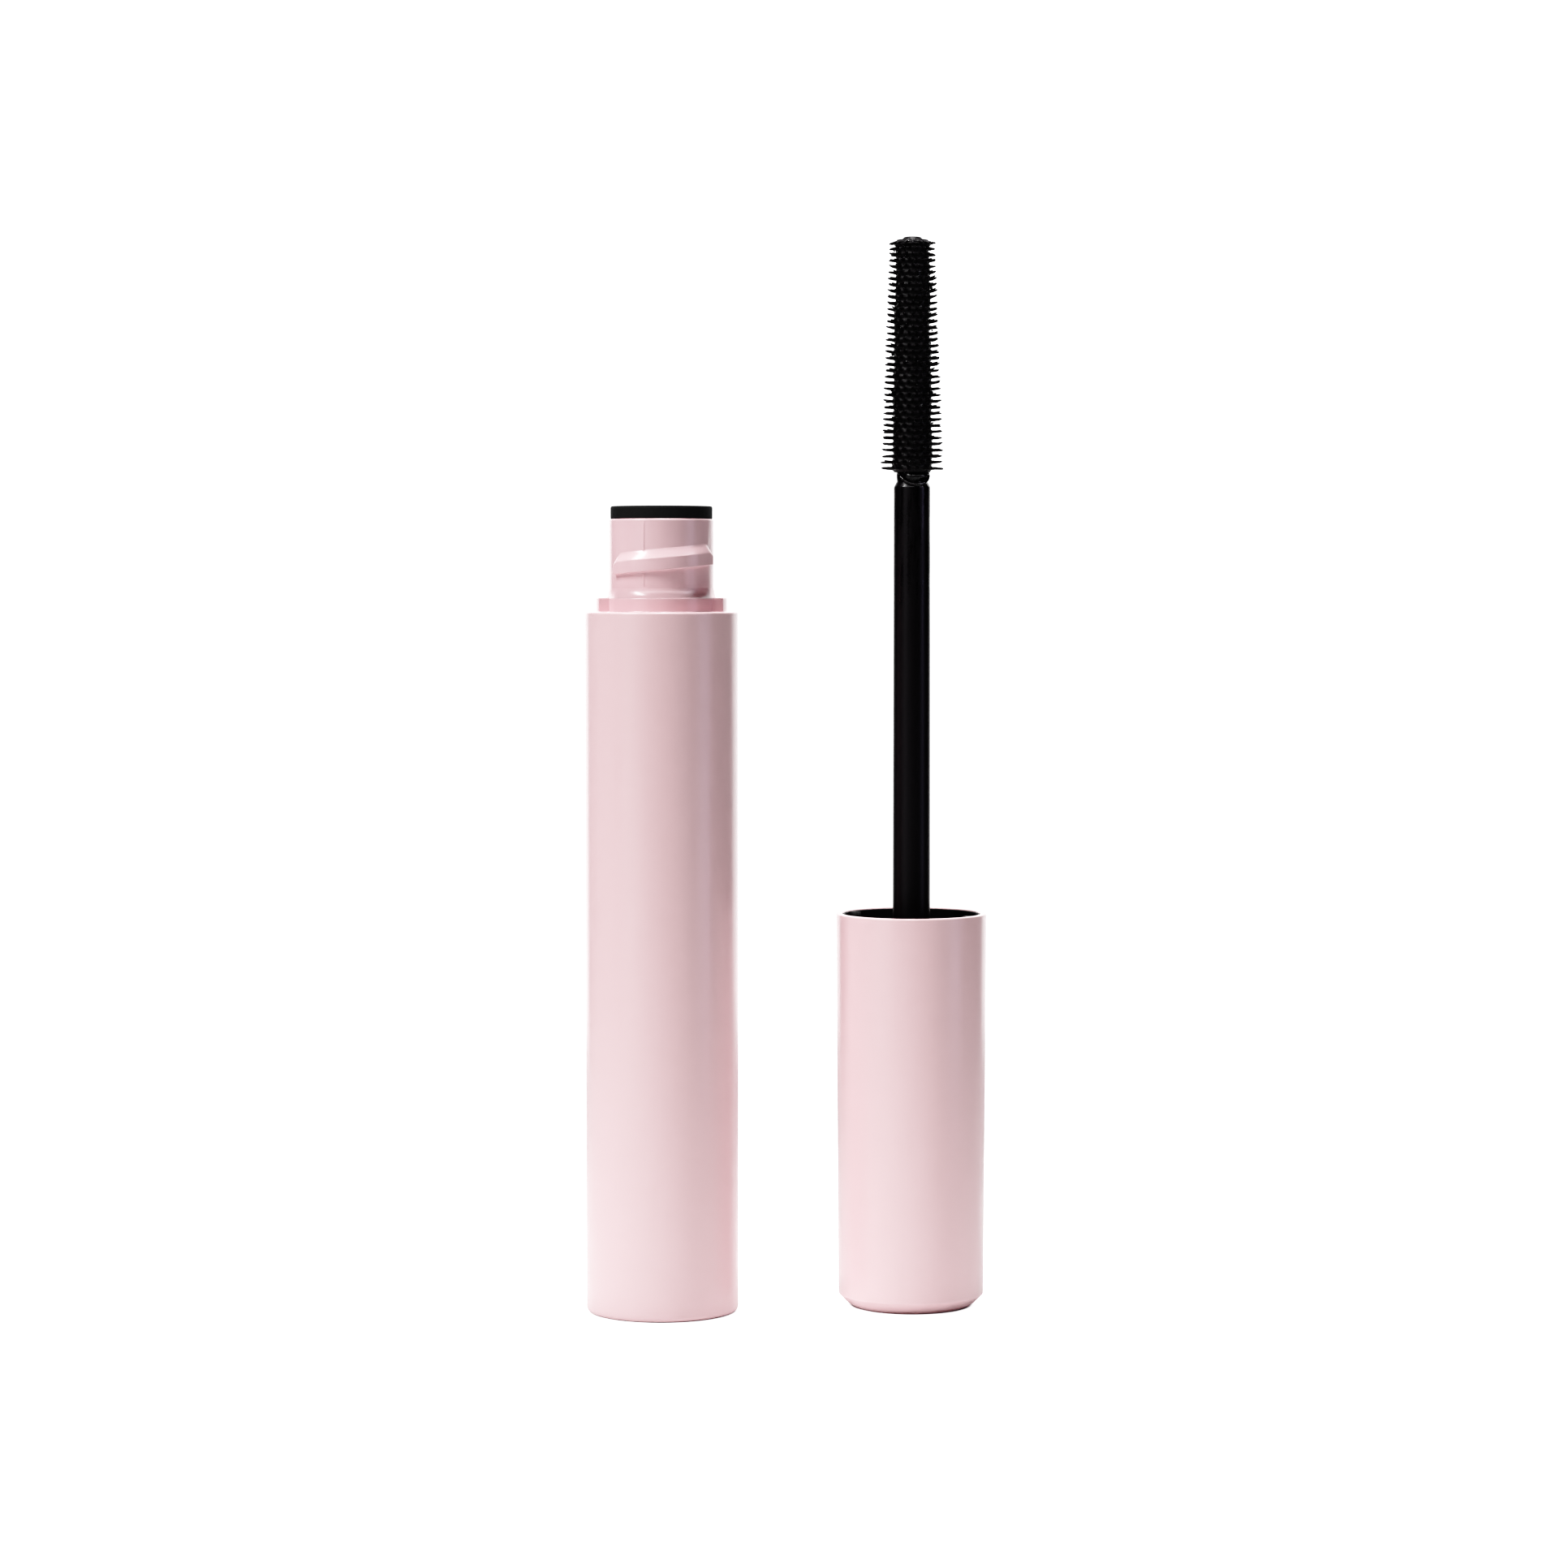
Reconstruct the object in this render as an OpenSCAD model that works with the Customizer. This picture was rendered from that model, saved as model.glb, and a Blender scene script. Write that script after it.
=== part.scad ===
// Mascara tube with its wand drawn out and stood on its cap beside it.
// Frame: +Z up, origin on the tube's axis in the plane that it stands on, the wand towards +X.
// Every wand piece is drawn where it sits with the cap screwed home on the neck,
// and in_layout() then turns the wand over and stands it beside the tube.

/* [Layout] */
// Where the wand is: stood on its cap beside the tube, or screwed home
layout = "open"; // [open, closed]
// Clear space between the tube and the cap as they stand, along X
stand_gap = 11.4; // [4:0.2:40]
// How far behind the tube's axis the wand stands
stand_back = 3.8; // [-10:0.2:10]

/* [Sleeve] */
// Outer diameter of the sleeve
body_d = 17.6; // [16.5:0.1:24]
// Height of the sleeve
body_h = 81; // [55:0.5:110]
// Wall of the sleeve
sleeve_wall = 1; // [0.8:0.05:1.4]
// Thickness of the sleeve's floor
sleeve_floor = 0.8; // [0.6:0.05:2]
// Radius of the sleeve's lower outside edge
foot_round = 0.6; // [0.1:0.05:1]
// Depth of the recess under the base that takes the label
label_recess = 0.2; // [0.15:0.05:0.5]
// Thickness of the base label
label_t = 0.12; // [0.05:0.01:0.14]

/* [Vial] */
// Wall of the vial
vial_wall = 1.05; // [0.7:0.05:1.4]
// Thickness of the vial's floor
vial_floor = 0.8; // [0.6:0.05:2]
// Radial gap between the vial and the sleeve
vial_gap = 0.2; // [0.1:0.05:0.4]
// Height of the flange that hangs in the sleeve's mouth
flange_h = 1.2; // [0.8:0.05:2.5]
// Width of the step in the sleeve's mouth that carries the flange
flange_seat = 0.33; // [0.2:0.01:0.5]

/* [Neck] */
// Outer diameter of the neck
neck_d = 12; // [9.5:0.1:12.4]
// Height of the neck above the sleeve
neck_h = 10.7; // [9.5:0.1:16]
// Wall of the neck
neck_wall = 1.15; // [0.8:0.05:1.3]
// Radial step from the neck out to the collar at its base
collar_step = 0.4; // [0.2:0.05:0.6]
// Height of the collar and of its two stop lugs
collar_h = 1.65; // [1.2:0.05:2]
// Height of the cone between the collar and the neck
collar_cone_h = 1.1; // [0.4:0.05:1.2]
// Width of each stop lug
lug_w = 5; // [2.5:0.1:6]

/* [Thread] */
// Radial depth of the neck's thread ribs
thread_depth = 0.55; // [0.4:0.05:0.6]
// Width of a thread rib at its root
thread_w = 2.4; // [1.9:0.05:2.6]
// Width of a thread rib at its crest
thread_crest_w = 1.45; // [1:0.05:1.8]
// Rise of the thread in one full turn
thread_lead = 3.4; // [2:0.1:5]
// Angle that each of the two thread ribs covers
thread_arc = 125; // [100:1:150]
// Radius of the rounded upper corners of a thread rib
thread_corner = 1.2; // [0.4:0.1:1.6]
// Height of the thread's lower end above the collar cone
thread_rise = 1.5; // [1.45:0.05:2]

/* [Wiper] */
// Thickness of the wiper's flange on top of the neck
wiper_flange_h = 1.45; // [0.6:0.05:2]
// Wall of the wiper's sleeve
wiper_wall = 0.62; // [0.4:0.02:0.8]
// Length of the wiper below its flange
wiper_len = 12.4; // [9:0.1:16]
// Height of the wiping cone
wiper_cone_h = 5; // [3:0.1:6]
// Radial gap between the wiping lip and the stem that rests in it
wiper_gap = 0.05; // [0.02:0.01:0.2]

/* [Cap] */
// Height of the cap shell
cap_h = 45.9; // [34:0.1:60]
// Step in radius from the sleeve in to the cap's mouth
cap_step = 0.05; // [0:0.05:0.4]
// Draft of the cap shell: how much smaller in radius its closed end is
cap_draft = 0.3; // [0:0.05:0.6]
// Wall of the cap shell
cap_wall = 0.72; // [0.6:0.02:0.9]
// Thickness of the cap shell's closed end
cap_end_t = 1.2; // [0.8:0.1:3]
// Size of the chamfer round the closed end
cap_chamfer = 1.4; // [0.4:0.1:2]

/* [Cap liner] */
// Length of the liner
liner_len = 25.7; // [22:0.1:30]
// How far the liner stands back from the cap's mouth
liner_setback = 0.1; // [0.1:0.05:0.5]
// Wall of the liner's mouth, outside the stop lugs
liner_lip = 0.33; // [0.3:0.01:0.4]
// Thickness of the web that closes the liner over the neck
liner_web = 1.6; // [1:0.1:2.5]
// Wall of the liner above the web
liner_skirt = 0.9; // [0.6:0.05:1.2]
// Length of the stem's root inside the liner's boss
stem_root = 9.5; // [6:0.1:10.5]
// Wall of the boss that grips the stem
boss_wall = 1.45; // [0.8:0.05:2]

/* [Wand] */
// Diameter of the stem where it leaves the liner
stem_d = 4.4; // [3.4:0.1:5]
// Draft of the stem: how much smaller in radius its tip is
stem_draft = 0.08; // [0:0.01:0.15]
// Chamfer round the stem's tip
stem_chamfer = 0.6; // [0.2:0.1:0.8]
// Length of the brush beyond the stem, with its bare neck
brush_len = 28.1; // [20:0.1:34]
// Length of the bare neck between the stem and the brush
brush_neck_len = 1.1; // [1:0.1:4]
// Diameter of the bare neck
brush_neck_d = 3.6; // [2.8:0.1:3.8]
// Diameter of the brush core beside the neck
core_base_d = 4.4; // [4:0.1:5]
// Diameter of the brush core beside the tip
core_tip_d = 3.8; // [3:0.1:4.2]
// Length of the shank inside the stem
shank_len = 7.3; // [4:0.1:12]
// Diameter of the shank
shank_d = 2.4; // [1.6:0.1:2.6]
// Gap between the brush's tip and the vial's floor with the cap screwed home
tip_gap = 0.8; // [0.5:0.1:4]

/* [Bristles] */
// Diameter over the bristles beside the neck
bristle_base_d = 7.4; // [6:0.1:7.6]
// Diameter over the bristles beside the tip
bristle_tip_d = 5.4; // [4.6:0.1:6]
// Rings of bristles along the brush
bristle_rings = 38; // [20:1:40]
// Bristles in a ring
bristle_count = 16; // [8:1:16]
// Diameter of a bristle at its root
bristle_root_d = 0.34; // [0.2:0.02:0.4]
// Diameter of a bristle at its tip
bristle_end_d = 0.12; // [0.08:0.02:0.2]

/* [Filling] */
// Space between the filling and the wiper's lower end
fill_space = 5.45; // [2:0.05:40]
// Gap all round between the bristles and the channel that they leave in the filling
channel_gap = 0.35; // [0.2:0.05:0.8]

/* [Hidden] */
$fn = 64;
eps = 0.01;

// Clearances that pieces share
fit_gap = 0.03;     // radial, between pieces pressed or snapped together
rest_gap = 0.05;    // axial, between pieces that meet when the cap is screwed home
turn_gap = 0.12;    // between the cap's and the neck's threads and stops
snap = 0.28;        // height of the snap beads

// Sleeve and vial
body_r = body_d / 2;
bore_r = body_r - sleeve_wall;
seat_r = bore_r + flange_seat;
label_r = body_r - foot_round - 0.8;
sleeve_floor_z = label_recess + sleeve_floor;
vial_r = bore_r - vial_gap;
vial_in_r = vial_r - vial_wall;
vial_z = sleeve_floor_z + rest_gap;
vial_floor_z = vial_z + vial_floor;
vial_snap_z = body_h - flange_h - 4;
rib_h = 10;         // centring ribs inside the sleeve
rib_w = 0.8;
rib_count = 6;

// Neck
neck_r = neck_d / 2;
neck_bore_r = neck_r - neck_wall;
collar_r = neck_r + collar_step;
collar_z = body_h + collar_h;
cone_z = collar_z + collar_cone_h;
neck_z = body_h + neck_h;
shoulder_z = body_h - flange_h;
shoulder_cone_h = (vial_in_r - neck_bore_r) * 1.3;

// Thread: angles run anticlockwise from +X, and a rib rises with the angle
thread_start = 212;
thread_r = neck_r + thread_depth;
thread_z = cone_z + thread_rise;

// Wiper
wiper_r = neck_bore_r - fit_gap;
wiper_in_r = wiper_r - wiper_wall;
wiper_top_z = neck_z + wiper_flange_h;
wiper_low_z = neck_z - wiper_len;
wiper_snap_z = neck_z - 6.5;
stem_r = stem_d / 2;
wiper_lip_r = stem_r + wiper_gap;

// Cap shell, as screwed home
cap_r = body_r - cap_step;
cap_low_z = body_h + rest_gap;
home_h = cap_low_z + cap_h;
wand_x = body_r + stand_gap + cap_r;
function cap_out_at(z) = cap_r - cap_draft * (z - cap_low_z) / cap_h;
function cap_in_at(z) = cap_out_at(z) - cap_wall;
liner_snap_z = cap_low_z + 8;

// Cap liner, as screwed home
liner_low_z = cap_low_z + liner_setback;
liner_top_z = liner_low_z + liner_len;
function liner_out_at(z) = cap_in_at(z) - fit_gap;
liner_lip_r = liner_out_at(liner_low_z) - liner_lip;
liner_bore_r = thread_r + 0.4;
liner_step_z = collar_z + 0.65;
web_z = wiper_top_z + rest_gap;
lug_r = liner_lip_r - turn_gap;
boss_top_z = web_z + stem_root + 1.3;
plug_r = wiper_in_r - 0.3;
plug_wall = 0.6;
plug_h = 1.8;

// The liner's thread lugs and stop teeth
tooth_arc = 24;
tooth_w = 1.3;
tooth_crest_w = 0.9;
tooth_r = neck_r + turn_gap;
stop_arc = 8;
stop_r = collar_r + 0.35;
stop_h = 1.2;

// Wand, as screwed home: it hangs tip down
tip_z = vial_floor_z + tip_gap;
stem_tip_z = tip_z + brush_len;
stem_top_z = web_z + stem_root;
stem_tip_r = stem_r - stem_draft;
core_z = stem_tip_z - brush_neck_len;
core_base_r = core_base_d / 2;
core_tip_r = core_tip_d / 2;
dome_h = 1;
function core_at(z) = core_tip_r + (core_base_r - core_tip_r) * (z - tip_z) / (core_z - tip_z);
function bristles_at(z) = (bristle_tip_d + (bristle_base_d - bristle_tip_d) * (z - tip_z) / (core_z - tip_z)) / 2;
bristle_sink = 0.05;

// Filling
channel_r = bristle_base_d / 2 + channel_gap;
channel_floor_z = tip_z - 0.25;

// Points along an arc of a profile
function arc(x, z, r, from, to, n = 6) =
    [for (i = [0:n]) let (a = from + (to - from) * i / n) [x + r * cos(a), z + r * sin(a)]];

// A bead that stands out of, or a groove cut into, an upright wall of a profile; up is +1 or -1
function bead(x, z, depth, half_h, up) =
    [[x, z - up * half_h], [x + depth, z - up * half_h / 2],
     [x + depth, z + up * half_h / 2], [x, z + up * half_h]];

// One helical rib: the points of its cross-sections, each an angle and an anticlockwise outline in
// radius and height, and the faces that join them
function rib_points(sections) = [for (s = sections) for (p = s[1]) [p[0] * cos(s[0]), p[0] * sin(s[0]), p[1]]];
function rib_faces(n, m) = concat(
    [[for (j = [m - 1:-1:0]) j]],
    [for (i = [0:n - 2]) for (j = [0:m - 1])
        [i * m + j, i * m + (j + 1) % m, (i + 1) * m + (j + 1) % m, (i + 1) * m + j]],
    [[for (j = [0:m - 1]) (n - 1) * m + j]]);

// Height lost to the rounded upper corner at distance s from a rib's end
function corner_drop(s) =
    s >= thread_corner ? 0 : thread_corner - sqrt(pow(thread_corner, 2) - pow(thread_corner - s, 2));

module helical_rib(sections) {
    polyhedron(points = rib_points(sections), faces = rib_faces(len(sections), len(sections[0][1])), convexity = 4);
}

// Two copies of a feature on opposite sides of the axis
module both_sides() {
    for (turn = [0, 180]) rotate([0, 0, turn]) children();
}

// Stands the wand on its cap beside the tube, or leaves it screwed home
module in_layout() {
    if (layout == "open") translate([wand_x, stand_back, home_h]) rotate([0, 180, 0]) children();
    else children();
}

// ---- tube ----

module sleeve() {
    edge = 0.2;
    corner = 0.8;
    color("#f2ccd2") union() {
        rotate_extrude() polygon(concat(
            [[0, label_recess], [label_r, label_recess], [label_r, 0]],
            arc(body_r - foot_round, foot_round, foot_round, -90, 0),
            arc(body_r - edge, body_h - edge, edge, 0, 90, 3),
            [[seat_r, body_h], [seat_r, body_h - flange_h], [bore_r, body_h - flange_h]],
            bead(bore_r, vial_snap_z, snap - vial_gap + fit_gap * 2, 0.5, -1),
            arc(bore_r - corner, sleeve_floor_z + corner, corner, 0, -90, 4),
            [[0, sleeve_floor_z]]));
        for (i = [0:rib_count - 1]) rotate([0, 0, i * 360 / rib_count])
            translate([vial_r + fit_gap, -rib_w / 2, sleeve_floor_z + corner])
                cube([vial_gap + sleeve_wall / 2, rib_w, rib_h]);
    }
}

module base_label() {
    color("#f7eef0") translate([0, 0, label_recess - label_t]) cylinder(r = label_r - 0.15, h = label_t);
}

module thread_rib() {
    steps = 30;
    arc_mm = neck_r * thread_arc * PI / 180;
    sink = neck_r - 0.3;
    // the stations crowd together in the rounded corners
    stations = concat([for (i = [0:4]) thread_corner * i / 5],
                      [for (i = [0:steps]) thread_corner + (arc_mm - 2 * thread_corner) * i / steps],
                      [for (i = [4:-1:0]) arc_mm - thread_corner * i / 5]);
    helical_rib([for (s = stations)
        let (a = s / arc_mm * thread_arc,
             low = thread_z + thread_lead * a / 360,
             w = thread_w - corner_drop(s) - corner_drop(arc_mm - s),
             crest = thread_crest_w * w / thread_w,
             root = crest + (w - crest) * (thread_r - sink) / thread_depth)
        [thread_start + a, [[sink, low], [thread_r, low], [thread_r, low + crest], [sink, low + root]]]]);
}

module stop_lugs() {
    translate([0, 0, body_h]) difference() {
        intersection() {
            cylinder(r = lug_r, h = collar_h);
            translate([-body_r, -lug_w / 2, 0]) cube([2 * body_r, lug_w, collar_h]);
        }
        translate([0, 0, -eps]) cylinder(r = collar_r - 0.5, h = collar_h + 2 * eps);
    }
}

module vial() {
    foot = 1;
    inside = 1.2;
    edge = 0.25;
    color("#f0c6cd") union() {
        rotate_extrude() polygon(concat(
            [[0, vial_z]],
            arc(vial_r - foot, vial_z + foot, foot, -90, 0),
            bead(vial_r, vial_snap_z, snap, 0.35, 1),
            [[vial_r, body_h - flange_h], [seat_r - fit_gap, body_h - flange_h], [seat_r - fit_gap, body_h],
             [collar_r, body_h], [collar_r, collar_z], [neck_r, cone_z]],
            arc(neck_r - edge, neck_z - edge, edge, 0, 90, 4),
            [[neck_bore_r, neck_z]],
            bead(neck_bore_r, wiper_snap_z, 0.15, 0.4, -1),
            [[neck_bore_r, shoulder_z], [vial_in_r, shoulder_z - shoulder_cone_h]],
            arc(vial_in_r - inside, vial_floor_z + inside, inside, 0, -90, 5),
            [[0, vial_floor_z]]));
        both_sides() thread_rib();
        stop_lugs();
    }
}

module wiper() {
    edge = 0.2;
    lip_h = 0.9;
    lip_wall = 0.5;
    mouth = 0.4;
    flange_r = neck_r - 0.13;
    color("#161416") rotate_extrude() polygon(concat(
        arc(flange_r - edge, neck_z + edge, edge, -90, 0, 3),
        arc(flange_r - edge, wiper_top_z - edge, edge, 0, 90, 3),
        [[wiper_in_r + mouth, wiper_top_z], [wiper_in_r, wiper_top_z - mouth],
         [wiper_in_r, wiper_low_z + wiper_cone_h + lip_h], [wiper_lip_r, wiper_low_z + lip_h],
         [wiper_lip_r, wiper_low_z], [wiper_lip_r + lip_wall, wiper_low_z],
         [wiper_lip_r + lip_wall, wiper_low_z + lip_h / 2], [wiper_r, wiper_low_z + wiper_cone_h]],
        bead(wiper_r, wiper_snap_z, 0.13, 0.35, 1),
        [[wiper_r, neck_z]]));
}

module mascara_fill() {
    out_r = vial_in_r - fit_gap;
    low_z = vial_floor_z + fit_gap;
    top_z = wiper_low_z - fill_space;
    corner = 1.2;
    slump = 0.8;
    color("#0c0a0b") rotate_extrude() polygon(concat(
        [[0, low_z]],
        arc(out_r - corner, low_z + corner, corner, -90, 0, 5),
        [[out_r, top_z], [channel_r + slump, top_z - slump / 3], [channel_r, top_z - slump],
         [channel_r, channel_floor_z + 0.5], [channel_r - 0.5, channel_floor_z], [0, channel_floor_z]]));
}

// ---- wand ----

module cap_shell() {
    edge = 0.2;
    blend = 0.3;
    corner = 1.5;
    end_in_z = home_h - cap_end_t;
    chamfer_z = home_h - cap_chamfer - 0.1;
    end_r = cap_out_at(chamfer_z);
    color("#f3ced4") rotate_extrude() polygon(concat(
        [[cap_in_at(cap_low_z) + 0.1, cap_low_z], [cap_r - edge, cap_low_z]],
        arc(cap_r - edge, cap_low_z + edge, edge, -90, 0, 3),
        arc(end_r - blend, chamfer_z - blend / 2, blend, 0, 45, 3),
        arc(end_r - cap_chamfer - blend / 2, home_h - blend, blend, 45, 90, 3),
        [[0, home_h], [0, end_in_z]],
        arc(cap_in_at(end_in_z) - corner, end_in_z - corner, corner, 90, 0, 5),
        bead(cap_in_at(liner_snap_z), liner_snap_z, 0.16, 0.5, -1),
        [[cap_in_at(cap_low_z), cap_low_z + 0.1]]));
}

module liner_tooth() {
    steps = 6;
    sink = liner_bore_r + 0.3;
    helical_rib([for (i = [0:steps])
        let (a = 2 + tooth_arc * i / steps,
             top = thread_z + thread_lead * a / 360 - turn_gap)
        [thread_start + a, [[sink, top - tooth_w], [sink, top], [tooth_r, top], [tooth_r, top - tooth_crest_w]]]]);
}

module liner_stop() {
    lug_half = asin(lug_w / 2 / stop_r);
    rotate([0, 0, 180 + lug_half + 1]) translate([0, 0, liner_low_z])
        rotate_extrude(angle = stop_arc) translate([stop_r, 0]) square([liner_lip_r + liner_lip / 2 - stop_r, stop_h]);
}

module cap_liner() {
    fins = 6;
    fin_w = 0.8;
    fin_top_z = liner_top_z - 2;
    boss_r = stem_r + fit_gap + boss_wall;
    socket_r = stem_r + fit_gap;
    socket_z = stem_top_z + rest_gap;
    web_top_z = web_z + liner_web;
    color("#141214") union() {
        rotate_extrude() polygon(concat(
            [[0, socket_z], [socket_r, socket_z], [socket_r, web_z], [plug_r - plug_wall, web_z],
             [plug_r - plug_wall, web_z - plug_h + 0.2], [plug_r - plug_wall + 0.2, web_z - plug_h],
             [plug_r - 0.2, web_z - plug_h], [plug_r, web_z - plug_h + 0.3], [plug_r, web_z],
             [liner_bore_r, web_z], [liner_bore_r, liner_step_z], [liner_lip_r, liner_step_z],
             [liner_lip_r, liner_low_z], [liner_out_at(liner_low_z), liner_low_z]],
            bead(liner_out_at(liner_snap_z), liner_snap_z, 0.13, 0.35, 1),
            [[liner_out_at(liner_top_z), liner_top_z], [liner_out_at(liner_top_z) - liner_skirt, liner_top_z],
             [liner_out_at(liner_top_z) - liner_skirt, web_top_z], [boss_r, web_top_z],
             [boss_r, boss_top_z], [0, boss_top_z]]));
        for (i = [0:fins - 1]) rotate([0, 0, i * 360 / fins])
            translate([boss_r - 0.3, -fin_w / 2, web_top_z - 0.3])
                cube([liner_out_at(liner_top_z) - liner_skirt - boss_r + 0.6, fin_w, fin_top_z - web_top_z]);
        both_sides() liner_tooth();
        both_sides() liner_stop();
    }
}

module stem() {
    shank_bore_r = shank_d / 2 + fit_gap;
    color("#131214") rotate_extrude() polygon([
        [shank_bore_r, stem_tip_z], [stem_tip_r - stem_chamfer, stem_tip_z],
        [stem_tip_r, stem_tip_z + stem_chamfer], [stem_r, web_z],
        [stem_r, stem_top_z - 0.5], [stem_r - 0.5, stem_top_z], [0, stem_top_z],
        [0, stem_tip_z + shank_len + rest_gap], [shank_bore_r, stem_tip_z + shank_len + rest_gap]]);
}

module brush_core() {
    nose_r = 0.9;
    neck_r = brush_neck_d / 2;
    shank_r = shank_d / 2;
    color("#100f10") rotate_extrude() polygon(concat(
        [[0, tip_z], [nose_r, tip_z]],
        arc(core_at(tip_z + dome_h) - dome_h, tip_z + dome_h, dome_h, -50, 0, 4),
        [[core_at(core_z - 0.6), core_z - 0.6], [neck_r + 0.15, core_z],
         [neck_r, core_z + 0.4], [neck_r, stem_tip_z - 0.6], [stem_tip_r - stem_chamfer, stem_tip_z - rest_gap],
         [shank_r, stem_tip_z - rest_gap], [shank_r, stem_tip_z + shank_len - 0.4],
         [shank_r - 0.4, stem_tip_z + shank_len], [0, stem_tip_z + shank_len]]));
}

module bristles() {
    first_z = tip_z + 0.85;
    last_z = core_z - 0.45;
    color("#0b0a0b") for (i = [0:bristle_rings - 1])
        let (z = first_z + (last_z - first_z) * i / (bristle_rings - 1),
             root = core_at(z) - bristle_sink,
             half_step = (i % 2) * 180 / bristle_count)
        for (k = [0:bristle_count - 1])
            rotate([0, 0, half_step + k * 360 / bristle_count]) translate([root, 0, z]) rotate([0, 90, 0])
                cylinder(h = bristles_at(z) - root, d1 = bristle_root_d, d2 = bristle_end_d, $fn = 16);
}

sleeve();
vial();
wiper();
mascara_fill();
base_label();
in_layout() cap_shell();
in_layout() cap_liner();
in_layout() stem();
in_layout() brush_core();
in_layout() bristles();
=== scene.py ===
"""Visible surfaces, finishes, lights and camera for a mascara tube with its wand drawn out and stood on its cap."""
import math

import bpy
import numpy as np
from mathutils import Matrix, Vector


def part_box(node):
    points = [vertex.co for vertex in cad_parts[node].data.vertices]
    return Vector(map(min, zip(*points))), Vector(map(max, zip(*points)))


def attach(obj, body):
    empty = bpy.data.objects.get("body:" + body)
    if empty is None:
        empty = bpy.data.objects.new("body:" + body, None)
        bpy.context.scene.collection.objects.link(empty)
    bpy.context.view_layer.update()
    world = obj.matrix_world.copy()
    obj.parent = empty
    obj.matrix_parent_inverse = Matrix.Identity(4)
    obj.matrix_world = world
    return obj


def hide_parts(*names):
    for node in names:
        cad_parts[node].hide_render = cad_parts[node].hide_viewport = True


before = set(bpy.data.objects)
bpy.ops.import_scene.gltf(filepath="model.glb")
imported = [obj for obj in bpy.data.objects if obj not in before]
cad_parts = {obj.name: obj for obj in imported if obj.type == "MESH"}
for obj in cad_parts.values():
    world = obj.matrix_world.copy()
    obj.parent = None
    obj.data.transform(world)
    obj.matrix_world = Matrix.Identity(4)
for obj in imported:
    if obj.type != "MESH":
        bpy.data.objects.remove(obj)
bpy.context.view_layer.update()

bl_info = {
    "name": "Mascara tube",
    "version": (1, 0, 0),
    "blender": (4, 5, 0),
    "location": "View3D > Sidebar > Mascara",
    "description": "Builds the visible surfaces of a mascara tube and its wand around their CAD frame",
    "category": "Add Mesh",
}

MM = 0.001
TURN = 2 * math.pi
FRONT = -math.pi / 2    # the direction that faces the camera, as an angle about +Z
SEED = 7
WHITE = (1.0, 1.0, 1.0, 1.0)
PRESS_GAP = 0.03 * MM     # between a piece and the bore that it is pressed into
FACE_GAP = 0.05 * MM      # between faces that meet when the cap is home
THREAD_GAP = 0.12 * MM    # between the cap's thread lugs and the neck's ribs
SHANK = 1.2 * MM          # radius of the brush's shank in the stem


# ---- what the frame says ----

def radius_of(node):
    """Half of a round node's width."""
    low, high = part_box(node)
    return (high[0] - low[0]) / 2


def height_of(node):
    low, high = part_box(node)
    return high[2] - low[2]


def low_of(node):
    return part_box(node)[0][2]


def top_of(node):
    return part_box(node)[1][2]


def axis_of(node):
    """Where a round node's axis meets the floor."""
    low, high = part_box(node)
    return ((low[0] + high[0]) / 2, (low[1] + high[1]) / 2, 0.0)


TUBE_AXIS = (0.0, 0.0, 0.0)
WAND_AXIS = axis_of("cap_shell")


# ---- sizes and colours that a user would change ----

def length(name, note, millimetres):
    """A length property, given in millimetres and kept in metres."""
    return bpy.props.FloatProperty(name=name, description=note, default=millimetres * MM, min=0.0,
                                   unit="LENGTH", precision=5)


def turn_angle(name, note, degrees):
    """An angle property, given in degrees and kept in radians."""
    return bpy.props.FloatProperty(name=name, description=note, default=math.radians(degrees), unit="ROTATION")


def colour(name, note, red, green, blue):
    """A linear colour property."""
    return bpy.props.FloatVectorProperty(name=name, description=note, default=(red, green, blue, 1.0),
                                         subtype="COLOR", size=4, min=0.0, max=1.0)


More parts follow.
